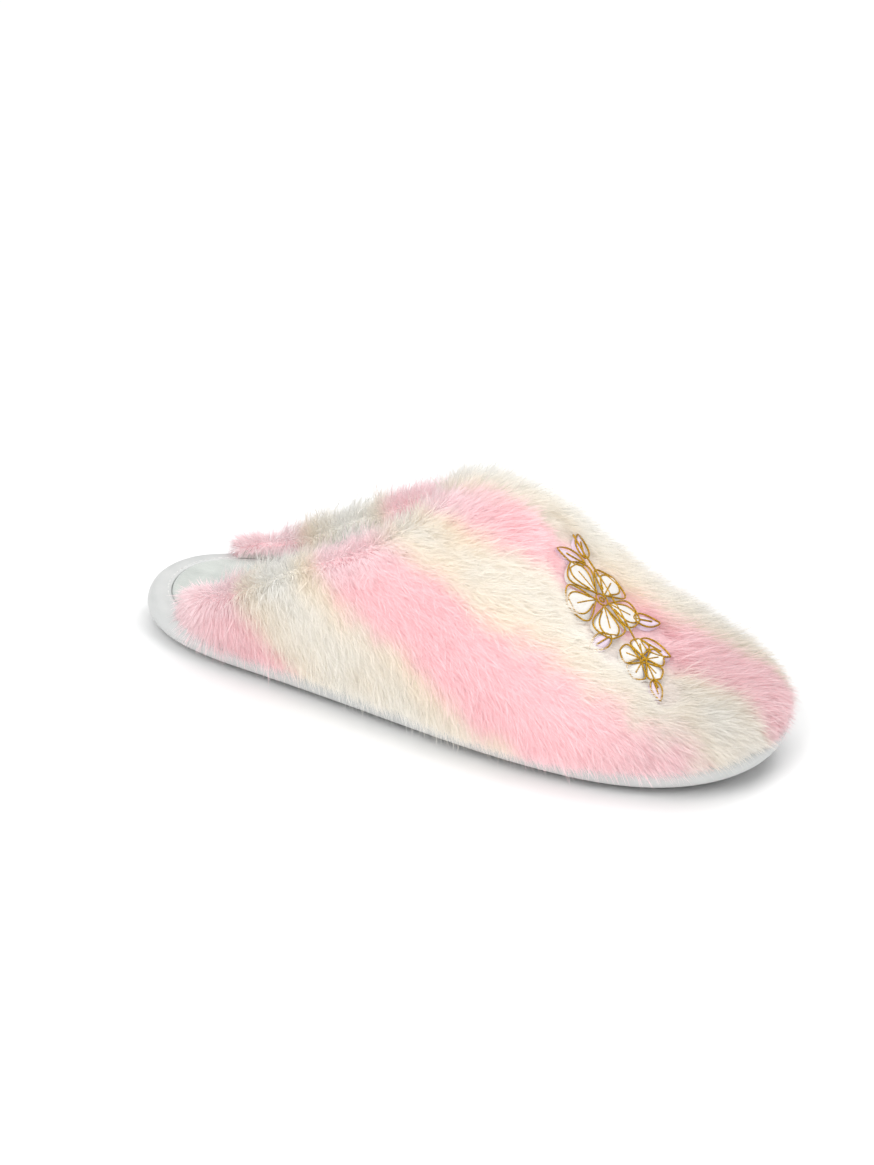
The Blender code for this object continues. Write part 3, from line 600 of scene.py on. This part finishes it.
class Nodes:
    """A material's node tree, with short calls to add nodes and links."""

    def __init__(self, name, **settings):
        self.material = bpy.data.materials.new(name)
        self.material.use_nodes = True
        self.tree = self.material.node_tree
        self.shader = self.tree.nodes["Principled BSDF"]
        for setting, value in settings.items():
            self.shader.inputs[setting.replace("_", " ")].default_value = value

    def add(self, kind, values=None, **settings):
        node = self.tree.nodes.new(kind)
        for name, value in settings.items():
            setattr(node, name, value)
        for name, value in (values or {}).items():
            node.inputs[name].default_value = value
        return node

    def join(self, source, target):
        self.tree.links.new(source, target)

    def noise(self, scale, detail=3.0, roughness=0.5, stretch=None):
        where = self.add("ShaderNodeTexCoord").outputs["Object"]
        if stretch:
            mapping = self.add("ShaderNodeMapping", {"Scale": stretch})
            self.join(where, mapping.inputs["Vector"])
            where = mapping.outputs["Vector"]
        node = self.add("ShaderNodeTexNoise", {"Scale": scale, "Detail": detail, "Roughness": roughness})
        self.join(where, node.inputs["Vector"])
        return node.outputs["Fac"]

    def cells(self, scale):
        node = self.add("ShaderNodeTexVoronoi", {"Scale": scale}, feature="SMOOTH_F1")
        self.join(self.add("ShaderNodeTexCoord").outputs["Object"], node.inputs["Vector"])
        return node.outputs["Distance"]

    def ramp(self, source, dark, light, edge=0.3):
        """Dark where the source is below edge, light where it is above 1 - edge."""
        node = self.add("ShaderNodeValToRGB")
        for element, place, colour in zip(node.color_ramp.elements, (edge, 1.0 - edge), (dark, light)):
            element.position, element.color = place, (*colour, 1.0)
        self.join(source, node.inputs["Fac"])
        return node.outputs["Color"]

    def bump(self, source, height, distance, after=None):
        node = self.add("ShaderNodeBump", {"Strength": height, "Distance": distance})
        self.join(source, node.inputs["Height"])
        if after is not None:
            self.join(after, node.inputs["Normal"])
        return node.outputs["Normal"]

    def colour(self, source):
        self.join(source, self.shader.inputs["Base Color"])

    def normal(self, source):
        self.join(source, self.shader.inputs["Normal"])


def painted(nodes, name, spread, scale):
    """The colour painted on the points, varied a little."""
    paint = nodes.add("ShaderNodeVertexColor", layer_name=name).outputs["Color"]
    low, high = (1.0 - spread,) * 3, (1.0 + spread,) * 3
    change = nodes.ramp(nodes.noise(scale), low, high)
    mix = nodes.add("ShaderNodeMix", {"Factor": 1.0}, data_type="RGBA", blend_type="MULTIPLY")
    nodes.join(paint, mix.inputs["A"])
    nodes.join(change, mix.inputs["B"])
    return mix.outputs["Result"]


def fur_material():
    """Soft hair: it sends back half of the light, lets the rest through, and glows a little in its own
    colour as painted light.
    """
    nodes = Nodes(
        "fur", Roughness=0.5, Sheen_Weight=0.3, Sheen_Roughness=0.4, Specular_IOR_Level=0.3,
        Emission_Strength=FUR_GLOW,
    )
    colour = painted(nodes, "fur", 0.05, 900.0)
    nodes.colour(colour)
    # Painted light: the fur's colour also sets its glow.
    nodes.join(colour, nodes.shader.inputs["Emission Color"])
    through = nodes.add("ShaderNodeBsdfTranslucent")
    nodes.join(colour, through.inputs["Color"])
    both = nodes.add("ShaderNodeMixShader", {"Fac": 0.5})
    nodes.join(nodes.shader.outputs["BSDF"], both.inputs[1])
    nodes.join(through.outputs["BSDF"], both.inputs[2])
    nodes.join(both.outputs["Shader"], nodes.tree.nodes["Material Output"].inputs["Surface"])
    return nodes.material


def backing_material():
    nodes = Nodes("fur_backing", Roughness=0.95, Sheen_Weight=0.2, Specular_IOR_Level=0.1)
    nodes.colour(painted(nodes, "fur", 0.12, 1500.0))
    nodes.normal(nodes.bump(nodes.noise(1800.0), 0.6, 0.0006))
    return nodes.material


def plush_material(name, dark, light, pile):
    """Short plush: a tone that changes with the nap, and a fine pile."""
    nodes = Nodes(name, Roughness=0.85, Sheen_Weight=0.6, Sheen_Roughness=0.5, Specular_IOR_Level=0.15)
    nodes.colour(nodes.ramp(nodes.noise(120.0, 4.0, 0.6), dark, light))
    coarse = nodes.bump(nodes.noise(420.0, 3.0, 0.6), 0.5, pile)
    nodes.normal(nodes.bump(nodes.noise(2600.0, 2.0, 0.7), 0.7, 0.5 * pile, coarse))
    return nodes.material


def leather_material():
    """Soft white coated leather with a fine grain and a satin coat."""
    nodes = Nodes(
        "binding_leather", Roughness=0.38, Coat_Weight=0.12, Coat_Roughness=0.3, Specular_IOR_Level=0.45
    )
    nodes.colour(nodes.ramp(nodes.noise(60.0, 4.0, 0.6), *LEATHER, 0.25))
    grain = nodes.bump(nodes.cells(1300.0), 0.18, 0.0003)
    nodes.normal(nodes.bump(nodes.noise(90.0, 3.0), 0.25, 0.0008, grain))
    return nodes.material


def rubber_material():
    """Brownish black rubber, stippled where the point colour "panel" is white."""
    nodes = Nodes("outsole_rubber", Roughness=0.5, Specular_IOR_Level=0.3)
    nodes.colour(nodes.ramp(nodes.noise(240.0), *RUBBER))
    panel = nodes.add("ShaderNodeVertexColor", layer_name="panel").outputs["Color"]
    strength = nodes.add("ShaderNodeMath", operation="MULTIPLY_ADD")
    nodes.join(panel, strength.inputs[0])
    strength.inputs[1].default_value, strength.inputs[2].default_value = 0.75, 0.06
    stipple = nodes.add("ShaderNodeBump", {"Distance": 0.0005})
    nodes.join(strength.outputs["Value"], stipple.inputs["Strength"])
    nodes.join(nodes.cells(1500.0), stipple.inputs["Height"])
    nodes.normal(nodes.bump(nodes.noise(900.0, 3.0, 0.6), 0.12, 0.0003, stipple.outputs["Normal"]))
    return nodes.material


def thread_material(name, colour, roughness, depth=0.7, metallic=0.0):
    nodes = Nodes(name, Roughness=roughness, Metallic=metallic, Specular_IOR_Level=0.3)
    low = tuple(depth * part for part in colour)
    nodes.colour(nodes.ramp(nodes.noise(1600.0), low, colour))
    nodes.normal(nodes.bump(nodes.noise(3200.0), 0.5, 0.0002))
    return nodes.material


# Upper

SKIN_COLUMNS = 216
OUTER_ROWS = 32
INNER_ROWS = 16
ROLL_STEPS = 7
LINED_FROM = OUTER_ROWS + ROLL_STEPS + 3


def shortened(grid, kept):
    """The same columns, each divided evenly up to a share of its height."""
    rows = grid.shape[1] - 1
    at = np.linspace(0.0, 1.0, rows + 1)[None] * kept[:, None] * rows
    low = np.minimum(at.astype(int), rows - 1)
    column = np.arange(len(grid))[:, None]
    return mixed(grid[column, low], grid[column, low + 1], at - low)


def skin_grids():
    """The outer face upwards, the roll over the collar, and the inner face downwards."""
    around = np.linspace(0.0, 1.0, SKIN_COLUMNS + 1)
    whole = inner_grid(around, np.linspace(0.0, 1.0, OUTER_ROWS + 1))
    height = np.linalg.norm(np.diff(whole, axis=1), axis=2).sum(axis=1)
    from_end = np.minimum(around, 1.0 - around)
    kept = np.maximum(1.0 - (COLLAR_DROP + rising(from_end, *REAR_DROP)) / height, LEAST_WALL)
    base = shortened(whole, kept)
    _, up_it, out = grid_frame(base)
    thinned = 1.0 - np.clip(from_end / END_ROUND, 0.0, 1.0)
    thick = SKIN * (END_THICK + (1.0 - END_THICK) * np.sqrt(1.0 - thinned**2))
    outer = base + out * thick[:, None, None]
    inner = base[:, :: -OUTER_ROWS // INNER_ROWS]
    middle = 0.5 * (inner[:, 0] + outer[:, -1])
    half = 0.5 * (outer[:, -1] - inner[:, 0])
    radius = np.linalg.norm(half, axis=1, keepdims=True)
    turns = np.linspace(0.0, math.pi, ROLL_STEPS + 2)[1:-1]
    roll = [middle + half * math.cos(turn) + up_it[:, -1] * radius * math.sin(turn) for turn in turns]
    return outer, np.stack(roll, axis=1), inner


def skin(grids):
    """The hollow wall beneath the fur: fur backing outside, plush lining inside."""
    outer, roll, inner = grids
    loops = np.concatenate([outer, roll, inner], axis=1)
    columns, levels = loops.shape[:2]
    faces = grid_faces(0, columns, levels, closed_columns=True)
    faces += [tuple(range(levels)), tuple(range((columns - 1) * levels, columns * levels))]
    made = outward(faces_object("upper_skin", placed(loops.reshape(-1, 3)), faces))
    # The backing takes the fur's root colours, so it carries their painted shade.
    roots, _ = fur_colours(loops.reshape(-1, 3), np.zeros(columns * levels))
    paint_points(made.data, "fur", roots)
    for material in (backing_material(), plush_material("lining_plush", *LINING, 0.0008)):
        made.data.materials.append(material)
    lined = [len(face) == 4 and min(face) % levels >= LINED_FROM for face in faces]
    made.data.polygons.foreach_set("material_index", np.array(lined, np.int32))
    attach(made, "root")
    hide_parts("upper")


def coat(grids):
    """The surface that carries hair, and the level of its rows."""
    outer, roll, inner = grids
    reach = np.linalg.norm(np.diff(inner, axis=1), axis=2).mean(axis=0).cumsum()
    turned = inner[:, : int(np.searchsorted(reach, TURN_IN)) + 1]
    grid = np.concatenate([outer, roll, turned], axis=1)
    level = np.concatenate([
        np.linspace(0.0, 1.0, outer.shape[1]),
        np.linspace(1.0, 2.0, roll.shape[1] + 2)[1:-1],
        np.linspace(2.0, 3.0, turned.shape[1]),
    ])
    return grid, level


def scatter(grid, level, count, rng):
    """Places spread evenly over the coat: column, row and shares inside the cell."""
    first, second = grid[1:, :-1] - grid[:-1, :-1], grid[:-1, 1:] - grid[:-1, :-1]
    area = np.linalg.norm(np.cross(first, second), axis=2)
    weight = np.where(level[:-1] > 2.0, TURNED_SHARE, 1.0)
    total = np.cumsum((area * weight).ravel())
    cell = np.searchsorted(total, rng.random(count) * total[-1])
    column, row = np.divmod(cell, area.shape[1])
    return column, row, rng.random(count), rng.random(count)


def read_grid(values, column, row, across, up):
    low = mixed(values[column, row], values[column + 1, row], across)
    high = mixed(values[column, row + 1], values[column + 1, row + 1], across)
    return mixed(low, high, up)


def nap_of(points, normals, around, level):
    """The way the fur is combed, and how near a hair is to the rear ends and the collar."""
    to_toe = rising(points[:, 0], *COMB_RAMP)
    rear = rising(np.minimum(around, 1.0 - around), *REAR_RAMP)
    comb = COMB + np.outer(to_toe, COMB_TOE) + np.outer(rear, COMB_REAR)
    comb -= normals * np.sum(comb * normals, axis=1, keepdims=True)
    return comb, rear, rising(level, *COLLAR_RAMP)


def hairs(grids):
    """Every hair's points, width, normal and colours, in order round the shoe."""
    rng = np.random.default_rng(HAIR_SEED)
    grid, level = coat(grids)
    _, _, out = grid_frame(grid)
    places = scatter(grid, level, HAIR_COUNT, rng)
    order = np.argsort(places[0], kind="stable")
    column, row, across, up = (part[order] for part in places)
    root = read_grid(grid, column, row, across, up)
    normal = unit(read_grid(out, column, row, across, up))
    around = (column + across) / (grid.shape[0] - 1)
    height = level[row] + up * (level[row + 1] - level[row])
    comb, rear, collar = nap_of(root, normal, around, height)
    sway = lattice_noise(root, *LOCKS, 3) + lattice_noise(root, *WAVES, 3)
    loose = rng.normal(0.0, 1.0, (len(root), 3))
    nap = unit(comb + COMB_WAVER * sway + COMB_LOOSE * loose)
    low = rising(height, *HEM_RAMP)
    lean = LEAN * (1.0 - COLLAR_STANDS * collar * (1.0 - REAR_LIES * rear)) * (1.0 - HEM_STANDS * low)
    guard = (rng.random(len(root)) < GUARD_SHARE) * (1.0 - smooth_step(trimmed(root)))
    guard *= 1.0 - REAR_GUARDS_LOST * rear
    _, _, hem = read_table(COLLAR, around)
    length = HAIR_LENGTH * (1.0 + (hem - 1.0) * low)
    uneven = (LOCK_UNEVEN + COLLAR_UNEVEN * collar) * lattice_noise(root, *LOCK_LENGTHS)
    length *= 1.0 + uneven + HAIR_UNEVEN * rng.normal(0.0, 1.0, len(root))
    length *= 1.0 - rising(height, *COLLAR_SHORT) - rising(height, *ROLL_SHORT)
    length *= 1.0 - rear * rising(height, *REAR_SHORT)
    length *= 1.0 - rising(root[:, 0], *TIP_SHORT)
    length *= 1.0 - low * rising(root[:, 0], *HEM_SHORT)
    reach = root + unit(normal + REACH_LEAN * nap) * length[:, None]
    patch = trimmed(root) * (height < 1.0)
    over = trimmed(reach) * (height < 1.0)
    lean = (lean + TRIMMED_LEAN * patch) * (1.0 - GUARD_STANDS * guard)
    kept = np.minimum(1.0 - (1.0 - TRIMMED_HAIR) * patch, 1.0 - TRIMMED_REACH * over)
    length = np.clip(length * kept * (1.0 + GUARD_LONGER * guard), LEAST_HAIR, MOST_HAIR)
    spread = (ROOT_SPREAD + GUARD_SPREAD * guard)[:, None] * loose
    start = unit(normal * np.cos(lean)[:, None] + nap * np.sin(lean)[:, None] + spread)
    sag = (TIP_SAG + HEM_SAG * low)[:, None]
    finish = unit(start + TIP_COMB * nap - sag * UP + TIP_SPREAD * spread)
    middle = root + start * (0.5 * length)[:, None]
    tip = middle + finish * (0.5 * length)[:, None]
    tip[:, 2] = np.maximum(tip[:, 2], HAIR_FLOOR)
    turn = rng.uniform(-TWIST, TWIST, len(root))[:, None]
    side = unit(np.cross(start, normal))
    face = unit(np.cross(side, start))
    side = side * np.cos(turn) + face * np.sin(turn)
    width = HAIR_WIDTH * rng.uniform(*WIDTH_RANGE, len(root))
    root_colour, tip_colour = fur_colours(root, np.maximum(collar, rear))
    # Some hairs darker: partly their own tone, partly painted shade for the shadows between hairs.
    tone_and_shade = 1.0 - HAIR_TONE_AND_SHADE * rng.random((len(root), 1)) ** 3
    tip_colour = mixed(tip_colour, root_colour, rng.random(len(root)) ** 2)
    lit = unit(normal + (LIT_UP + COLLAR_LIT_UP * collar)[:, None] * UP)
    return {
        "root": root - normal * HAIR_SUNK, "middle": middle, "tip": tip, "side": side * width[:, None],
        "normal": unit(SKIN_NORMAL * lit + (1.0 - SKIN_NORMAL) * unit(np.cross(side, start))),
        "root_colour": root_colour * tone_and_shade, "tip_colour": tip_colour * tone_and_shade,
        "around": around, "height": height / 3.0,
    }


def fur_piece(name, strand, material):
    """Hairs as blades bent half way: one point at the root, two half way, one at the tip."""
    count = len(strand["root"])
    half = 0.5 * strand["side"]
    points = np.stack(
        [strand["root"], strand["middle"] - half, strand["middle"] + half, strand["tip"]], axis=1
    )
    first = 4 * np.arange(count)[:, None]
    corners = (first + BLADE_FACES).ravel()
    made = new_mesh_object(name, placed(points.reshape(-1, 3)), corners, np.full(2 * count, 3))
    # Each blade darkens from its tip to its root: painted shade deep in the pile.
    colours = mixed(strand["root_colour"][:, None], strand["tip_colour"][:, None], [BLADE_SHARES])
    paint_points(made.data, "fur", np.clip(colours, 0.0, 1.0).reshape(-1, 3))
    u = strand["around"][:, None] + BLADE_U
    v = strand["height"][:, None] + BLADE_V
    layer = made.data.uv_layers.new(name="OFBake")
    places = np.stack([u.ravel()[corners], v.ravel()[corners]], axis=1)
    layer.data.foreach_set("uv", places.astype(np.float32).ravel())
    normals = np.repeat(strand["normal"], 4, axis=0)
    made.data.normals_split_custom_set_from_vertices(normals.tolist())
    made.data.materials.append(material)
    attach(made, "root")


def fur(grids):
    strands = hairs(grids)
    material = fur_material()
    for k, part in enumerate(np.array_split(np.arange(HAIR_COUNT), FUR_PIECES), 1):
        fur_piece(f"fur_{k}", {name: values[part] for name, values in strands.items()}, material)


# Platform


def fold(radius, steps):
    """Inset and height of points round the binding's fold, from below upwards."""
    turns = np.linspace(-0.5 * math.pi, 0.5 * math.pi, steps)
    return [(FOLD_RADIUS - radius * math.cos(t), FOLD_MIDDLE + radius * math.sin(t)) for t in turns]


def inside(points, line):
    """True for points in the plane that lie inside a closed line."""
    found = np.zeros(len(points), bool)
    for start, end in zip(line, np.roll(line, -1, axis=0)):
        crossed = (start[1] > points[:, 1]) != (end[1] > points[:, 1])
        reach = (end[0] - start[0]) * (points[:, 1] - start[1]) / (end[1] - start[1] or 1.0) + start[0]
        found ^= crossed & (points[:, 0] < reach)
    return found


def outsole_cover():
    """The moulded unit as in the CAD, its edges rounded, its panel told from the rim."""
    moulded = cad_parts["outsole"]
    work = bmesh.new()
    work.from_mesh(moulded.data)
    work.transform(moulded.matrix_world)
    bmesh.ops.remove_doubles(work, verts=work.verts, dist=WELD)
    flat = [edge for edge in work.edges if edge.is_manifold]
    bmesh.ops.dissolve_limit(work, angle_limit=FLAT_ANGLE, verts=work.verts, edges=flat)
    sharp = [edge for edge in work.edges if edge.is_manifold and edge.calc_face_angle() > SHARP_ANGLE]
    bmesh.ops.bevel(
        work, geom=sharp, offset=MOULD_ROUND, segments=2, profile=0.5, affect="EDGES", clamp_overlap=True
    )
    bmesh.ops.triangulate(work, faces=[face for face in work.faces if len(face.verts) > 4])
    mesh = bpy.data.meshes.new("outsole_cover")
    work.to_mesh(mesh)
    work.free()
    made = linked("outsole_cover", mesh)
    points = np.array([tuple(vertex.co) for vertex in mesh.vertices]) - SHIFT
    panel = inside(points[:, :2], inset_line(STATIONS[:, 2] + STATIONS[:, 3] - CLEARANCE))
    paint_points(mesh, "panel", panel[:, None])
    mesh.shade_smooth()
    mesh.set_sharp_from_angle(angle=SHARP_ANGLE)
    mesh.materials.append(rubber_material())
    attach(made, "root")
    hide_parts("outsole")


def binding_cover():
    """The folded strip, finely divided, with slight puckers from the sewing."""
    tuck = STATIONS[:, 2] + FLANGE_TUCK
    section = [(FLANGE_EDGE * tuck, BINDING_BOTTOM), (0.5 * (tuck + FOLD_RADIUS), BINDING_BOTTOM)]
    fold_row = len(section) + FOLD_STEPS // 2
    section += fold(FOLD_RADIUS, FOLD_STEPS)
    section += [(0.5 * (FOLD_RADIUS + FEATHER_INSET), PLATFORM_HEIGHT)]
    section += [(FEATHER_INSET - EDGE_ROUND, PLATFORM_HEIGHT)]
    outer_rows = len(section)
    section += [(FEATHER_INSET, PLATFORM_HEIGHT - drop) for drop in (EDGE_ROUND, BINDING_WALL)]
    section += fold(FOLD_RADIUS - BINDING_WALL, INNER_STEPS)[::-1]
    section += [(tuck, BINDING_BOTTOM + BINDING_WALL)]
    grid = np.stack([ring(inset, height) for inset, height in section])
    out = np.column_stack([-edge_inwards(), np.zeros(len(EDGE))])
    level = np.array([height for _, height in section[:outer_rows]])
    bulge = np.exp(-(((level - FOLD_MIDDLE) / (0.8 * FOLD_RADIUS)) ** 2))[:, None]
    pucker = PUCKER_DEPTH * lattice_noise(placed(grid[fold_row]), *PUCKERS)
    away = np.hypot(EDGE[:, 0] - JOIN_AT[0] * SOLE_LENGTH, EDGE[:, 1] - JOIN_AT[1] * BALL_WIDTH)
    pucker[np.argmin(away)] -= JOIN_DEPTH
    grid[:outer_rows] += (bulge * pucker)[..., None] * out
    faces = grid_faces(0, len(grid), len(EDGE), closed_rows=True, closed_columns=True)
    made = outward(faces_object("binding_cover", placed(grid.reshape(-1, 3)), faces))
    made.data.set_sharp_from_angle(angle=math.radians(50))
    made.data.materials.append(leather_material())
    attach(made, "root")
    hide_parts("binding")


def footbed_cover():
    """The foam footbed under short pale plush, soft at its edge."""
    rim = STATIONS[:, 2] + FLANGE_TUCK + CLEARANCE
    step = FEATHER_INSET + CLEARANCE
    section = [(rim, BINDING_BOTTOM + FOOTBED_LIFT), (rim, BINDING_BOTTOM + BINDING_WALL + CLEARANCE)]
    section += fold(FOLD_RADIUS - BINDING_WALL - CLEARANCE, INNER_STEPS)
    section += [(step, PLATFORM_HEIGHT - BINDING_WALL - CLEARANCE)]
    section += [(step + inwards, PLATFORM_HEIGHT + up) for inwards, up in FOOTBED_EDGE]
    rings = [ring(inset, height) for inset, height in section]
    count = len(EDGE)
    faces = grid_faces(0, len(rings), count, closed_columns=True)
    for level in (0, len(rings) - 1):
        for k in range(count // 2):
            corners = (k, k + 1, (count - k - 1) % count, (count - k) % count)
            faces.append(tuple(dict.fromkeys(level * count + corner for corner in corners)))
    made = outward(faces_object("footbed_cover", placed(np.vstack(rings)), faces))
    made.data.materials.append(plush_material("footbed_plush", *FOOTBED, 0.0006))
    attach(made, "root")
    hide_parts("insole")


# Stitches


def along_line(line, pitch):
    """Centres and directions of stitches along a closed line of points."""
    closed = np.vstack([line, line[:1]])
    length = reach_of(closed)[-1]
    count = int(length / pitch)
    at = (np.arange(count) + 0.5) / count
    points = divided(closed, at)
    return points, unit(divided(closed, (at + PROBE / length) % 1.0) - points)


def tube_faces(first, rows, sides):
    """Faces of a closed tube whose points are numbered row by row."""
    faces = grid_faces(first, rows, sides, closed_columns=True)
    return faces + [tuple(row + k for k in range(sides)) for row in (first, first + (rows - 1) * sides)]


def turns_round(sides):
    return np.arange(sides) * 2.0 * math.pi / sides


def stitches(name, line, radius, up, material):
    """Short rounded threads laid along a closed line, half sunk in the binding."""
    centres, along = along_line(line, STITCH_PITCH)
    across = unit(np.cross(along, UP))
    rise = np.cross(across, along) * up
    points, faces = [], []
    for centre, ahead, beside, above in zip(centres, along, across, rise):
        faces += tube_faces(len(points), len(STITCH_PROFILE), STITCH_SIDES)
        for place, share in STITCH_PROFILE:
            sag = -radius * STITCH_SAG * (2.0 * place) ** 2
            middle = centre + ahead * place * STITCH_LENGTH + above * sag
            for turn in turns_round(STITCH_SIDES):
                offset = beside * math.cos(turn) + above * math.sin(turn)
                points.append(middle + offset * radius * share)
    made = outward(faces_object(name, placed(points), faces))
    made.data.materials.append(material)
    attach(made, "root")


def all_stitches():
    black = thread_material("black_thread", BLACK, 0.6)
    white = thread_material("white_thread", WHITE, 0.6)
    below = ring(STATIONS[:, 2] - BELOW_INSET, BINDING_BOTTOM - STITCH_LIFT)
    stitches("stitches_below", below, BELOW_RADIUS, -1.0, black)
    above = ring(FEATHER_INSET - ABOVE_INSET, PLATFORM_HEIGHT + STITCH_LIFT)
    stitches("stitches_above", above, ABOVE_RADIUS, 1.0, white)


# Embroidery


def vamp_point(u, v):
    """A point of the last at u and v, and its normal."""
    x, y = MOTIF_AT[0] + np.asarray(u), MOTIF_AT[1] + np.asarray(v)
    _, ridge, _, lateral, medial = section_at(x)
    across = (y - ridge) / np.where(y < ridge, lateral, medial)
    point = last_surface(x, across)
    ahead = last_surface(x + PROBE, across)
    beside = last_surface(x, across + 0.02)
    return point, unit(np.cross(ahead - point, beside - point))


def heading(turn):
    return np.stack([np.cos(turn), np.sin(turn)], axis=-1)


def blade(start, turn, length, width, fullest):
    """A leaf or petal: its middle line and its half width, with the direction across it."""
    share = np.linspace(0.0, 1.0, BLADE_POINTS)
    along = heading(turn)
    beside = np.array([-along[1], along[0]])
    half = width * np.sin(math.pi * share**fullest) ** BLUNTNESS
    return start + np.outer(share * length, along), half, beside


def motif():
    """A generic spray of two blossoms and leaves: gold lines, and the grounds that they edge."""
    share = np.linspace(0.0, 1.0, STEM_POINTS)
    stem = np.outer(1.0 - share, SPRAY_START) + np.outer(share, SPRAY_END)
    stem[:, 1] += SPRAY_BEND * np.sin(math.pi * share)
    lines, grounds = [stem], []
    round_it = np.linspace(0.0, 2.0 * math.pi, CIRCLE_POINTS)
    for u, v, turn, length in LEAVES:
        leaf = blade(np.array([u, v]), turn, length, LEAF_WIDTH * length, LEAF_FULLEST)
        grounds.append((leaf, LEAF_GROUND, 0.0))
    for u, v, size, turn in BLOSSOMS:
        centre = np.array([u, v])
        for k in range(PETALS):
            petal_turn = turn + k * 2.0 * math.pi / PETALS
            start = centre + PETAL_START * size * heading(petal_turn)
            petal = blade(start, petal_turn, PETAL_LENGTH * size, PETAL_WIDTH * size, PETAL_FULLEST)
            grounds.append((petal, PETAL_GROUND, PETAL_LIFT))
        lines += [centre + heart * size * heading(round_it) for heart in HEARTS]
    for (middle, width, beside), ground, _ in grounds:
        one = middle + width[:, None] * beside
        two = middle - width[:, None] * beside
        lines.append(np.vstack([one, two[-2::-1]]))
        lines.append(middle[VEIN])
        if ground == PETAL_GROUND and width.max() > FINE_PETAL:
            sides = [mixed(middle, edge, INNER_LINE)[LOOP] for edge in (one, two)]
            lines.append(np.vstack([sides[0], sides[1][::-1]]))
    return lines, grounds


def cords(lines, lifted):
    """Round threads laid along lines in the vamp's plane, with a fine twist."""
    points, faces = [], []
    for line in lines:
        steps = int(reach_of(line)[-1] / CORD_PITCH)
        surface, normal = vamp_point(*divided(line, np.linspace(0.0, 1.0, max(4, steps))).T)
        middle = surface + normal * (SKIN + lifted)
        ahead = unit(np.gradient(middle, axis=0))
        beside = unit(np.cross(normal, ahead))
        faces += tube_faces(len(points), len(middle), CORD_SIDES)
        for k in range(len(middle)):
            thick = CORD_RADIUS * (1.0 + CORD_TWIST * (k % 2))
            for turn in turns_round(CORD_SIDES):
                points.append(middle[k] + thick * (beside[k] * math.cos(turn) + normal[k] * math.sin(turn)))
    return outward(faces_object("embroidery", placed(points), faces))


def sewn_grounds(grounds):
    """Low cushions of satin stitch inside the leaves and petals."""
    across = np.linspace(-1.0, 1.0, CUSHION_COLUMNS)
    points, faces, colours = [], [], []
    for (middle, width, beside), colour, lifted in grounds:
        first = len(points)
        for centre, half in zip(middle, np.maximum(width, LEAST_CUSHION)):
            surface, normal = vamp_point(*(centre + across[:, None] * half * beside).T)
            height = SKIN + MOTIF_HEIGHT + lifted - CUSHION_DROP * np.abs(across) ** 6
            points += list(surface + normal * height[:, None])
            colours += [colour] * len(across)
        faces += grid_faces(first, len(middle), len(across))
    made = faces_object("embroidery_ground", placed(points), faces)
    paint_points(made.data, "ground", colours)
    return made


def embroidery():
    lines, grounds = motif()
    gold = cords(lines, MOTIF_HEIGHT + CORD_LIFT)
    gold.data.materials.append(thread_material("gold_thread", GOLD, 0.36, 0.3, 0.6))
    ground = sewn_grounds(grounds)
    nodes = Nodes("satin_stitch", Roughness=0.5, Sheen_Weight=0.3, Specular_IOR_Level=0.4)
    nodes.colour(painted(nodes, "ground", 0.06, 700.0))
    nodes.normal(nodes.bump(nodes.noise(500.0, 2.0, 0.5, (1.0, 5.0, 1.0)), 0.6, 0.0003))
    ground.data.materials.append(nodes.material)
    for made in (gold, ground):
        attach(made, "root")


# Stage


def stage():
    corners = [(FLOOR_HALF * x, FLOOR_HALF * y, 0.0) for x, y in ((-1, -1), (1, -1), (1, 1), (-1, 1))]
    floor = faces_object("floor", corners, [(0, 1, 2, 3)])
    nodes = Nodes("floor", Roughness=0.8, Specular_IOR_Level=0.1, Base_Color=FLOOR_GREY)
    floor.data.materials.append(nodes.material)
    world = bpy.data.worlds.new("studio")
    world.use_nodes = True
    sky = world.node_tree.nodes["Background"]
    sky.inputs["Color"].default_value = (1.0, 1.0, 1.0, 1.0)
    sky.inputs["Strength"].default_value = SKY_LIGHT
    bpy.context.scene.world = world
    bpy.context.scene.view_settings.view_transform = "Standard"
    for name, place, size, power in LIGHTS:
        light = bpy.data.lights.new(name, "AREA")
        light.shape, light.size, light.energy = "DISK", size, power
        lamp = linked(name, light)
        lamp.location = place
        lamp.rotation_euler = (Vector(LIT_POINT) - Vector(place)).to_track_quat("-Z", "Y").to_euler()


def camera():
    """The photo's angle and framing, rolled as in the photo."""
    right = Vector(CAMERA_RIGHT).normalized()
    up = Vector(CAMERA_UP)
    up = (up - right * up.dot(right)).normalized()
    back = right.cross(up)
    across, down = (0.5 * size - pixel for size, pixel in zip(FRAME_PIXELS, ANCHOR_PIXEL))
    aim = Vector(placed(ANCHOR)) + (right * across - up * down) / PIXELS_PER_METRE
    data = bpy.data.cameras.new("camera")
    data.sensor_width = SENSOR
    data.lens = SENSOR * CAMERA_DISTANCE * PIXELS_PER_METRE / max(FRAME_PIXELS)
    data.clip_start, data.clip_end = 0.05, 100.0
    made = linked("camera", data)
    turned = Matrix((right, up, back)).transposed().to_4x4()
    made.matrix_world = Matrix.Translation(aim + back * CAMERA_DISTANCE) @ turned
    bpy.context.scene.camera = made


def main():
    camera()
    stage()
    grids = skin_grids()
    skin(grids)
    fur(grids)
    binding_cover()
    footbed_cover()
    all_stitches()
    embroidery()
    outsole_cover()


main()
